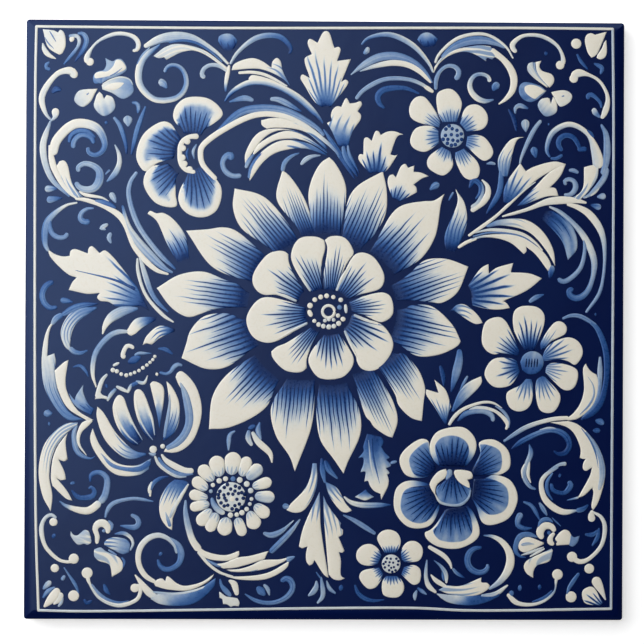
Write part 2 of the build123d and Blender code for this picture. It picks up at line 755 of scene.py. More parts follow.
@dataclass(frozen=True)
class SlipFinish:
    """Cream slip with cobalt brushed over it, under a clear glaze.

    Attributes:
        name: Name of the material.
        roughness: Middle roughness of the glaze.
        gloss_swing: How far the roughness varies.
        wobble: How far a brush line sways, in lanes.
        shortest: Length of the shortest brush line, as a share of the longest.
        taper: How soon a brush line thins, 1 for evenly.
        breadth: Width of a brush line at its start, as a share of its lane.
        soft_side: Share of the lane over which a line's edge fades outwards.
        hard_side: The same inwards.
        fade: Share of a line's length over which its end fades.
        blot: How far the wash varies in blots.
        streak: How far it varies from lane to lane.
        thin_edge: Width of the edge where the glaze pools, in millimetres.
        edge_tone: Density that it adds there.
        bump_share: Share of the bump that is used.
        bump_height: Height of the glaze's swells, in millimetres.
        sheen: Tint of the reflection.
        sheen_level: Strength of the reflection.
        stops: Colours of the wash by density.
    """

    name: str = "slip_under_glaze"
    roughness: float = 0.28
    gloss_swing: float = 0.08
    wobble: float = 0.5
    shortest: float = 0.65
    taper: float = 0.85
    breadth: float = 0.85
    soft_side: float = 0.16
    hard_side: float = 0.26
    fade: float = 0.3
    blot: float = 0.3
    streak: float = 0.45
    thin_edge: float = 0.2
    edge_tone: float = 0.06
    bump_share: float = 0.25
    bump_height: float = 0.12
    sheen: Colour = (0.42, 0.62, 1.0)
    sheen_level: float = 0.46
    stops: tuple[tuple[float, Colour], ...] = (
        (0.00, (0.86, 0.815, 0.70)),
        (0.10, (0.75, 0.76, 0.71)),
        (0.22, (0.52, 0.58, 0.63)),
        (0.34, (0.32, 0.42, 0.56)),
        (0.46, (0.185, 0.288, 0.49)),
        (0.58, (0.09, 0.187, 0.405)),
        (0.70, (0.04, 0.113, 0.32)),
        (0.80, (0.017, 0.067, 0.235)),
        (0.90, (0.006, 0.029, 0.14)),
        (1.00, (0.0004, 0.0055, 0.051)),
    )

    def build(self) -> bpy.types.Material:
        """Makes the material.

        Returns:
            The material.
        """
        sheet = NodeSheet(self.name)
        place = sheet.position()
        sway = sheet.math("SUBTRACT", sheet.noise(place, scale=0.16, detail=1.0), 0.5)
        lane = sheet.math("MULTIPLY_ADD", sway, self.wobble, sheet.attribute(Channel.LANE))
        cell = sheet.math("FLOOR", lane)
        centred = sheet.math("SUBTRACT", sheet.math("FRACT", lane), 0.5)
        off_line = sheet.math("MULTIPLY", sheet.math("ABSOLUTE", centred), 2.0)
        chance = sheet.node("ShaderNodeTexWhiteNoise", noise_dimensions="1D")
        sheet.link(cell, chance.inputs["W"])
        length = sheet.math("MULTIPLY_ADD", chance.outputs["Value"], 1 - self.shortest, self.shortest)
        spent = sheet.math("DIVIDE", sheet.attribute(Channel.RUN), length)
        left = sheet.math("SUBTRACT", 1.0, spent, clamp=True)
        width = sheet.math("MULTIPLY", sheet.math("POWER", left, self.taper), self.breadth)
        outer = sheet.math("ADD", width, self.soft_side)
        line = sheet.ramp(off_line, outer, sheet.math("SUBTRACT", width, self.hard_side))
        present = sheet.ramp(left, 0.0, self.fade)
        ink = sheet.math("MULTIPLY", sheet.math("MULTIPLY", line, present), sheet.attribute(Channel.INK))
        crest = sheet.math("SUBTRACT", 1.0, sheet.math("MULTIPLY", off_line, off_line))
        streak = sheet.math("MULTIPLY", sheet.math("SUBTRACT", chance.outputs["Value"], 0.5), crest)
        blot = sheet.noise(place, scale=0.9, detail=4.0)
        blot = sheet.math("MULTIPLY_ADD", blot, self.blot, -self.blot / 2)
        blot = sheet.math("MULTIPLY_ADD", streak, self.streak, blot)
        wash = sheet.attribute(Channel.WASH)
        room = sheet.math("MULTIPLY", wash, sheet.math("MULTIPLY_ADD", wash, -2.0, 2.0))
        wash = sheet.math("MULTIPLY_ADD", room, blot, wash)
        thin = sheet.ramp(sheet.attribute(Channel.EDGE), self.thin_edge, 0.0)
        density = sheet.math("MAXIMUM", wash, ink)
        density = sheet.math("MULTIPLY_ADD", thin, self.edge_tone, density)
        colour = sheet.colours(density, self.stops)
        sheet.link(colour, sheet.shader.inputs["Base Color"])
        sheet.shader.inputs["Specular Tint"].default_value = (*self.sheen, 1.0)
        sheet.shader.inputs["Specular IOR Level"].default_value = self.sheen_level
        grain = sheet.noise(place, scale=1.6, detail=3.0)
        smoothest = self.roughness - self.gloss_swing / 2
        gloss = sheet.math("MULTIPLY_ADD", grain, self.gloss_swing, smoothest)
        sheet.link(gloss, sheet.shader.inputs["Roughness"])
        sheet.bump(sheet.noise(place, scale=0.5, detail=2.0), self.bump_share, self.bump_height)
        return sheet.material


@dataclass(frozen=True)
class NavyFinish:
    """Navy glaze on the face and sides, ending unevenly above the bare fired back.

    Attributes:
        name: Name of the material.
        deep: Colour where the glaze pools.
        pale: Colour where it runs thin.
        biscuit: Colour of the fired body.
        stained: Colour of its stains.
        sheen: Tint of the reflection.
        sheen_level: Strength of the reflection.
        roughness: Roughness of the glaze.
        bare_roughness: Roughness of the fired body.
        glaze_line: Height above the back where the glaze ends, in millimetres.
        drip: How far that height varies, in millimetres.
        thinning: Height over which the glaze thins out, in millimetres.
        bump_share: Share of the bump that is used.
        bump_height: Height of the glaze's swells, in millimetres.
    """

    name: str = "navy_glaze_on_biscuit"
    deep: Colour = (0.0002, 0.0035, 0.047)
    pale: Colour = (0.0008, 0.0075, 0.062)
    biscuit: Colour = (0.62, 0.52, 0.41)
    stained: Colour = (0.50, 0.40, 0.30)
    sheen: Colour = (0.42, 0.62, 1.0)
    sheen_level: float = 0.46
    roughness: float = 0.28
    bare_roughness: float = 0.85
    glaze_line: float = 1.6
    drip: float = 1.6
    thinning: float = 0.25
    bump_share: float = 0.25
    bump_height: float = 0.1

    def build(self) -> bpy.types.Material:
        """Makes the material.

        Returns:
            The material.
        """
        sheet = NodeSheet(self.name)
        place = sheet.position()
        pool = sheet.noise(place, scale=0.06, detail=4.0)
        glaze = sheet.colours(pool, ((0.3, self.deep), (0.75, self.pale)))
        stain = sheet.noise(place, scale=0.8, detail=6.0)
        body = sheet.colours(stain, ((0.35, self.stained), (0.6, self.biscuit)))
        split = sheet.node("ShaderNodeSeparateXYZ")
        sheet.link(place, split.inputs[0])
        lowest = self.glaze_line - self.drip / 2
        line = sheet.math("MULTIPLY_ADD", sheet.noise(place, scale=0.25, detail=3.0), self.drip, lowest)
        cover = sheet.ramp(split.outputs["Z"], line, sheet.math("ADD", line, self.thinning))
        blend = sheet.node("ShaderNodeMix", data_type="RGBA")
        sheet.link(cover, blend.inputs["Factor"])
        sheet.link(body, blend.inputs["A"])
        sheet.link(glaze, blend.inputs["B"])
        sheet.link(blend.outputs["Result"], sheet.shader.inputs["Base Color"])
        sheet.shader.inputs["Specular Tint"].default_value = (*self.sheen, 1.0)
        sheet.shader.inputs["Specular IOR Level"].default_value = self.sheen_level
        change = self.roughness - self.bare_roughness
        gloss = sheet.math("MULTIPLY_ADD", cover, change, self.bare_roughness)
        sheet.link(gloss, sheet.shader.inputs["Roughness"])
        sheet.bump(sheet.noise(place, scale=0.4, detail=3.0), self.bump_share, self.bump_height)
        return sheet.material


# Motifs


@dataclass
class Dahlia:
    """The large flower in the middle: pointed outer petals, round inner ones and a beaded eye."""

    middle: Point = (0.9, 2.1)
    tuck: float = 4.4
    ring_middle: Point = (0.9, 2.2)
    ring_radius: float = 1.55
    ring_turn: float = 2.02 * math.pi
    ring_points: int = 13
    outer_brush: Brush = Brush(root=0.95, reach=0.8, foot=0.38, ink=0.95, lines=11.0, length=0.98, bow=0.3)
    inner_brush: Brush = Brush(root=0.7, reach=0.74, foot=0.14, ink=0.96, lines=9.0, length=0.96, bow=0.58)

    def outer_petals(self) -> SlipMesh:
        """Builds the pointed petals, clockwise from the top one.

        Returns:
            The gathered shapes.
        """
        mesh = SlipMesh("dahlia_outer_petals", Slot.CREAM)
        petals: tuple[Runs, ...] = (
            (((-3.2, 23.6), (-4.25, 33), (-1.4, 39.8), (0.9, 41.5)), ((2.4, 40), (5.2, 34), (4.1, 24))),
            (((4.6, 23.3), (5.6, 30), (6.6, 32.4), (8.5, 34.5), (14.6, 38)),
             ((15.6, 33), (15.3, 27), (12.6, 22), (9.2, 18.2))),
            (((12.6, 19.6), (17, 27.3), (19.5, 29.3), (25, 30.4), (27.6, 30.6), (30.3, 32.3)),
             ((29.5, 30), (28, 21.5), (24.5, 15.9), (18.6, 12.2))),
            (((18, 9.6), (21.4, 11.9), (25.3, 15.3), (30.5, 15.8), (36.5, 13.8)),
             ((33.5, 7), (29.5, 4.5), (27.2, 4.7), (20, 5.2))),
            (((20, 3), (22, 3.9), (27, 3.7), (32.6, -1.2), (34.6, -5.2)),
             ((34, -6.2), (29.5, -8.5), (23.5, -9), (19, -6.2))),
            (((18.4, -8.4), (19.7, -8.2), (24, -12.8), (25.6, -17.5), (25.3, -20), (24.8, -25.6)),
             ((22, -24.7), (18.8, -21.5), (18, -19), (14.6, -13.3))),
            (((13.4, -13.8), (17.5, -20.8), (18.6, -25.5), (17.3, -29.8)),
             ((16, -29.4), (12.5, -27), (11.6, -25.6), (10.6, -24.6), (7.4, -14.8))),
            (((6.4, -17.6), (8.6, -22), (9.35, -26.5), (8.8, -30), (6, -36), (4.9, -39)),
             ((2.5, -35.5), (-1, -30.5), (-2.1, -23.5), (-1.6, -17.6))),
            (((-2.6, -16.8), (-2.5, -19.5), (-3.3, -27), (-7.5, -38.5)),
             ((-8.8, -34.8), (-12.3, -29.5), (-13.7, -23.5), (-12.8, -20), (-10.4, -16.2))),
            (((-12.2, -16.4), (-15, -22.3), (-24, -27.3), (-29.4, -27.8)),
             ((-28.5, -19.5), (-25.5, -14.6), (-20.2, -10.4))),
            (((-18.4, -7.4), (-25, -12), (-30, -12.5), (-36.4, -9.8)),
             ((-35.2, -6), (-34.3, -3), (-31, 0.7), (-26, 1.7), (-23.5, 1.3), (-21.2, 0.2))),
            (((-21.6, 3.2), (-28, 2.7), (-34.4, 0.65), (-36.6, 1.3), (-39.5, 3.5), (-42.8, 8)),
             ((-37, 11.4), (-31, 12.2), (-25.5, 10.2), (-22.5, 9.2), (-19.8, 7.2))),
            (((-20.2, 10.2), (-23, 10.8), (-29, 13.7), (-35.4, 22.6)),
             ((-30, 23), (-26, 23.5), (-23, 22.8), (-15.8, 16.9))),
            (((-14.2, 18.2), (-21.5, 23.5), (-23.5, 28.5), (-23.1, 33.4)),
             ((-17, 32), (-14, 30), (-9, 23.8), (-7, 20.4))),
            (((-7, 23.3), (-12.4, 30.8), (-11, 38.2)), ((-9, 36.5), (-5.3, 30.8), (-3, 23.8))),
        )
        reaches = (0.95, 1, 0.82, 1.1, 1.1, 0.9, 1.12, 1, 0.86, 0.82, 1.05, 0.96, 0.9, 0.98, 0.9)
        for petal, reach in zip(petals, reaches):
            runs = deepen(petal, self.middle, self.tuck)
            foot = np.mean([runs[0][0], runs[1][-1]], axis=0)
            brush = replace(self.outer_brush, reach=self.outer_brush.reach * reach,
                            length=self.outer_brush.length * reach)
            mesh.fill(runs, brush, Spine((tuple(foot), runs[0][-1])))
        return mesh

    def inner_petals(self) -> SlipMesh:
        """Builds the round petals, clockwise from the split top one.

        Returns:
            The gathered shapes.
        """
        mesh = SlipMesh("dahlia_inner_petals", Slot.CREAM)
        petals: tuple[Runs, ...] = (
            (((-3.7, 7.2), (-5.6, 9.6), (-8.7, 16.2), (-6.7, 20.7), (-2.2, 21.2), (-0.3, 20.4)),
             ((0, 18.5), (-0.8, 15), (-1, 11), (-0.5, 7.8))),
            (((-0.1, 7.8), (-0.4, 11), (0.5, 18.6), (-0.1, 20.4)),
             ((1.2, 21.3), (5, 21), (7.25, 17.4), (7, 16.5)), ((5.6, 14.6), (2.3, 7.2))),
            (((2.8, 7.6), (8, 17), (11.8, 16.5), (14.9, 12), (14.9, 9.5), (13.8, 8), (9, 6.6), (5.6, 5.4)),),
            (((6, 4.7), (9, 5.9), (14.8, 7.1), (16.7, 6), (17.2, 1.5), (14.5, -0.4), (9.5, 1.5),
              (6.6, 2.2)),),
            (((7, 1.6), (9.5, 0.6), (14.5, -1.1), (17.3, -5.2), (17, -8), (14, -12), (11.5, -12.9),
              (9.3, -12.2), (8.2, -10.5), (7.9, -8.9), (4.7, -2.4)),),
            (((3.8, -3.4), (7.4, -10.2), (5.7, -13.6), (3.5, -14.8), (-1.5, -14.6), (-4.1, -10.8),
              (-3.7, -8.5), (-0.2, -3.6)),),
            (((-1.3, -3), (-2.6, -4.9), (-4.6, -10), (-4.6, -12.2)),
             ((-6, -13.2), (-10, -12.8), (-13.3, -9.5), (-13.6, -8)),
             ((-12.2, -6.8), (-10, -5.9), (-3.4, -1.7))),
            (((-4.2, -0.7), (-14, -5.8), (-18.3, -4.3), (-20, 0.2), (-17.5, 4.7), (-15, 5.8), (-6.4, 3.8),
              (-4.8, 3)),),
            (((-6.9, 4.6), (-12.5, 6.4), (-15.5, 6.4), (-17.2, 7.3), (-18.4, 9.3), (-18.3, 11.7),
              (-15, 16.4), (-12.5, 17.6), (-10.5, 17.5), (-9.4, 16.8)),
             ((-9.3, 15), (-8.4, 12.5), (-5.2, 7.2))),
        )
        for runs in petals:
            mesh.fill(runs, self.inner_brush, Fan(self.middle))
        for rim in (
            ((2.9, 7.5), (4.2, 10.6), (6.2, 14)), ((-3.7, 7.4), (-5.7, 10.6), (-7.4, 14)),
            ((-7.2, 4.8), (-10.4, 6.2), (-13.6, 7)), ((-4.4, -0.7), (-7.8, -2.4), (-11.6, -4.6)),
            ((5, -2.6), (6.6, -6), (8.2, -9.4)), ((7.3, 1.4), (10.4, 0.1), (13.6, -1)),
        ):
            mesh.stroke(rim, (0.6, 0.8, 0.3), (0.25, 0.08, 0), lift=0.06)
        return mesh

    def eye(self) -> SlipMesh:
        """Builds the ring of beads and the ringed dot in it.

        Returns:
            The gathered shapes.
        """
        mesh = SlipMesh("dahlia_eye", Slot.CREAM)
        beads: tuple[tuple[float, float, float, float], ...] = (
            (0.4, 6.2, 0.62, 0), (-1.1, 5.9, 0.62, 0), (-2.6, 5.2, 0.62, 0), (-3.8, 3.7, 0.72, 0),
            (-2.7, -0.2, 0.52, 0.05), (-1.6, -1.1, 0.6, 0.05), (-0.4, -1.5, 0.62, 0.1),
            (1, -1.7, 0.66, 0.1), (2.3, -1.5, 0.62, 0.1), (3.5, -0.8, 0.66, 0.05), (4.6, 0.3, 0.62, 0),
            (4, 5.2, 0.6, 0.05), (2.1, 5.9, 0.55, 0), (3.3, 1.2, 0.55, 0.05), (0, -0.1, 0.5, 0.12),
            (1, 0.2, 0.5, 0.12), (2.2, 0.1, 0.5, 0.12), (3.7, 3.3, 0.62, 0.5),
        )
        for x, y, radius, tone in beads:
            mesh.bead((x, y), radius, tone)
        mesh.strokes((
            (((-4.2, 2.6), (-3.4, 0.9)), (0.9, 1.2, 0.9)),
            (((5.2, 4.1), (5.4, 1.8)), (0.6, 0.9, 0.5), (0.05, 0.2)),
        ))
        turns = np.linspace(0, self.ring_turn, self.ring_points)
        x, y = self.ring_middle
        radius = self.ring_radius
        ring = [(x + radius * math.cos(t), y + radius * math.sin(t)) for t in turns]
        mesh.stroke(ring, (0.75,), (0, 0.1, 0))
        return mesh

    def build(self, finish: bpy.types.Material) -> None:
        """Builds the flower's three pieces."""
        for mesh in (self.outer_petals(), self.inner_petals(), self.eye()):
            mesh.build(finish)


@dataclass
class Border:
    """The thin line that frames the picture, drawn by hand a little unevenly."""

    width: float = 0.66
    # Densities of the top, left, bottom and right sides; the higher ones on the bottom and right are painted
    # shade.
    tones: tuple[float, ...] = (0.06, 0.06, 0.16, 0.2)
    sides: tuple[Sequence[Point], ...] = (
        ((-73.9, 74.3), (-30, 74.2), (50, 74.7), (73.4, 74.6)),
        ((-73.6, 74.6), (-73.8, 60), (-73.2, -50), (-72.4, -74.2)),
        ((-72.7, -73.9), (-62, -74.1), (22, -73.1), (37, -73.7), (73.5, -73.2)),
        ((73.2, -73.5), (73.4, 50), (73.1, 74.9)),
    )

    def build(self, finish: bpy.types.Material) -> None:
        """Builds the line, with painted shade that makes its bottom and right sides bluer.

        Args:
            finish: Material of the slip.
        """
        mesh = SlipMesh("border_line", Slot.CREAM)
        for side, tone in zip(self.sides, self.tones):
            mesh.stroke(side, (self.width,), (tone,))
        mesh.build(finish)


@dataclass
class Poppy:
    """The round flower at the upper left, with its scalloped eye, white stem and striped leaf."""

    middle: Point = (-34.0, 42.0)
    tuck: float = 1.3
    lobe_brush: Brush = Brush(root=0.84, tip=0.36, reach=0.95, foot=0.12, rim=2.0, ink=0.95, lines=9.0,
                              length=1.1)

    def lobes(self, mesh: SlipMesh) -> None:
        """Adds the four blue lobes with their broad cream rims.

        Args:
            mesh: Mesh that takes the shapes.
        """
        lobes: tuple[Runs, ...] = (
            (((-36.6, 48.6), (-38, 49.8), (-38.8, 51.5), (-38.4, 53.8), (-36.8, 55.7), (-34.6, 56.6),
              (-29.4, 56), (-26.2, 52.3), (-31, 48)),),
            (((-40, 40.6), (-43, 39.6), (-45.8, 37.6), (-48.1, 41), (-46.4, 47), (-41.6, 50.3),
              (-39.6, 49.9), (-37.4, 47)),),
            (((-37.9, 36.2), (-38.1, 32), (-37.9, 28.8), (-42.8, 29.4), (-46.1, 33.8), (-46, 36.6),
              (-44.4, 38.8), (-41.5, 39.4)),),
            (((-35.2, 36.6), (-37, 33), (-37.4, 30.6), (-36.6, 28.4), (-34.8, 26.8), (-32.2, 26),
              (-29.6, 26.4), (-27.4, 28.2), (-26.5, 33.6), (-30.6, 38.6)),),
        )
        for runs in lobes:
            mesh.fill(deepen(runs, self.middle, self.tuck), self.lobe_brush, Fan(self.middle))

    def eye(self, mesh: SlipMesh) -> None:
        """Adds the scalloped half ring and the crescent in it.

        Args:
            mesh: Mesh that takes the shapes.
        """
        mesh.stroke(
            ((-32.3, 46.6), (-34.4, 46.5), (-36, 45.7), (-36.9, 44.2), (-36.8, 39.8), (-35.6, 38.2),
             (-33.1, 37.4)), (1.6, 1.2, 1.2, 1.3, 1.2, 1.3, 1.2, 1.2, 1), lift=0.05)
        for place in ((-35.2, 45.3), (-36.3, 43.6), (-36.4, 41.2), (-35.9, 39.6), (-34.6, 38.2)):
            mesh.bead(place, 0.8, lift=0.05)
        mesh.strokes((
            (((-32.8, 44.7), (-33.7, 42.8), (-33.4, 40.8)), (0.3, 0.8, 0.2), (0.5, 0.3, 0.5)),
            (((-34.9, 43.6), (-35.3, 42.2), (-34.9, 40.6)), (0.3, 0.7, 0.2), (0.75,)),
        ))

    def stem(self, mesh: SlipMesh) -> None:
        """Adds the white stem with the blue band above it.

        Args:
            mesh: Mesh that takes the shapes.
        """
        mesh.stroke(
            ((-28.6, 46.8), (-22.3, 52.4), (-19, 53.6), (-10.7, 53.3), (-2.3, 49), (-0.4, 47)),
            (0.6, 1.7, 2, 1.9, 1.5, 0.8), (0.68, 0.6, 0.52, 0.46, 0.46, 0.5))
        mesh.stroke(
            ((-27.8, 35.6), (-31.2, 39.4), (-31.8, 41.7), (-31.3, 44.2), (-19, 51.8), (-12.3, 52.2),
             (-5.7, 49.7), (2.6, 43), (3.6, 41.2)), (1.2, 1.4, 1.5, 1.5, 1.5, 1.4, 1.2, 1, 0.5),
            (0, 0, 0, 0, 0, 0.03, 0.1, 0.55), lift=0.05)

    def leaf(self, mesh: SlipMesh) -> None:
        """Adds the striped leaf under the stem and the small curls round it.

        Args:
            mesh: Mesh that takes the shapes.
        """
        bands: tuple[Runs, ...] = (
            (((0.2, 43.4), (-5.5, 48), (-13, 48.9), (-15, 48.6)), ((-16.3, 49.6), (-16.4, 50.8)),
             ((-13.5, 51.4), (-9, 50.9), (-4.5, 48.6), (-1, 45.6), (0.4, 43.8))),
            (((0.3, 43), (-6, 47.2), (-9.6, 48.3), (-13, 47.9), (-15.8, 46.2), (-20.5, 39.8)),
             ((-20.4, 42.4), (-16.8, 47.8), (-8, 48.2), (0.2, 43.2))),
            (((0.4, 42.4), (-3, 44.6), (-6.5, 45.9), (-13, 45.6), (-18.8, 41.6)),
             ((-17.4, 44.4), (-11.6, 47.8), (-8.4, 48), (-4, 46.1), (0.4, 42.8))),
            (((0.3, 41.9), (-5.7, 43.7), (-12.4, 42.6), (-15.6, 40.4), (-19.3, 35.3)),
             ((-19.4, 37.6), (-18, 41), (-11.8, 45.5), (-4.6, 45), (0.3, 42.3))),
        )
        tips = ((-16, 50.2), (-20, 41.5), (-18.4, 42.4), (-18.6, 37.4))
        for runs, tip in zip(bands, tips):
            brush = Brush(root=0.7, reach=0.4, ink=0.6, lines=3, length=0.6)
            mesh.fill(runs, brush, Spine(((0.3, 42.6), (-5, 46), (-11, 47), tip)))
        mesh.strokes((
            (((-20.3, 38.6), (-19.6, 40.4), (-18.2, 42.2)), (0.8, 1.2, 0.4), (0.35, 0.5, 0.6)),
            (((-19.5, 36), (-18.8, 38.6), (-16.8, 41.6), (-14.6, 43.6)), (0.8, 1.3, 0.5), (0.5, 0.62, 0.8)),
            (((-11, 37.8), (-10.4, 40), (-8.8, 41.6), (-6.7, 42.5)), (1, 1.2, 0.9, 0.3), (0.45, 0.5, 0.55)),
            (((-6.3, 39.5), (-5, 40.9), (-3.3, 41.7), (-1.3, 41.9)), (0.7, 1.3, 0.9, 0.3),
             (0.3, 0.32, 0.4)),
            (((-24.1, 40.6), (-24.3, 41.9), (-25.6, 41.3), (-26.2, 39.7), (-25.4, 37.7), (-23.6, 36.6),
              (-21.4, 36.7)), (2.2, 1.6, 1.3, 1.4, 1.3, 1.2), (0.62, 0.5, 0.45, 0.42, 0.42)),
        ))

    def build(self, finish: bpy.types.Material) -> None:
        """Builds the flower and its leaf.

        Args:
            finish: Material of the slip.
        """
        flower = SlipMesh("poppy", Slot.CREAM)
        self.lobes(flower)
        self.eye(flower)
        self.stem(flower)
        flower.build(finish)
        leaf = SlipMesh("poppy_leaf", Slot.CREAM)
        self.leaf(leaf)
        leaf.build(finish)


@dataclass
class StarFlower:
    """The seven-petalled flower at the upper right with a speckled eye."""

    middle: Point = (32.3, 47.1)
    brush: Brush = Brush(root=0.55, reach=0.58, ink=0.66, lines=6, length=0.64, bow=0.3)

    def build(self, finish: bpy.types.Material) -> None:
        """Builds the flower.

        Args:
            finish: Material of the slip.
        """
        mesh = SlipMesh("star_flower", Slot.CREAM)
        petals: tuple[Sequence[Point], ...] = (
            ((29.7, 50.6), (28.6, 53), (28.5, 58), (32, 59), (34.6, 55.8), (33.4, 50.7)),
            ((34.2, 50.3), (35.3, 53.8), (36.5, 54.9), (38.5, 55.1), (40.3, 54), (41.3, 52), (41, 50),
             (39.8, 48.8), (35.9, 48.2)),
            ((36.1, 47), (38.2, 47.4), (40.5, 46.7), (42.7, 43.2), (42, 41.5), (40.3, 40.8), (35.7, 44.6)),
            ((35.2, 43.9), (38.6, 40.6), (39.3, 38.6), (38.8, 36.6), (37.3, 35.9), (35.3, 36.6), (33.1, 41),
             (33, 42.8)),
            ((31.8, 43.1), (32.4, 39.3), (30, 37), (26.3, 38.8), (25.8, 40.4), (26.5, 42), (29.6, 44.3)),
            ((28.9, 45.2), (25.3, 43), (22.3, 44), (21.5, 45.8), (23, 49), (27.2, 49.5), (28.7, 48.4)),
            ((28.9, 49.2), (23.3, 50.6), (21.7, 51.7), (21.2, 53.7), (21.8, 55.7), (23.2, 57), (25, 57),
             (28.6, 52.2), (29.2, 50.5)),
        )
        for outline in petals:
            mesh.fill((outline,), self.brush, Fan(self.middle))
        mesh.bead(self.middle, 3, 0.3)
        specks: tuple[Point, ...] = (
            (30.6, 48.8), (32.2, 48.9), (33.4, 48.5), (34.5, 47.6), (33.5, 47.2), (32, 47.4), (30.5, 47.2),
            (31.1, 46.2), (32.4, 46), (33.6, 45.8), (34.6, 46.2), (31, 45.2), (32, 44.7), (33, 44.9),
            (29.9, 46.2), (31.4, 49.6),
        )
        for place in specks:
            mesh.bead(place, 0.52, 0.86, lift=0.07)
        mesh.build(finish)


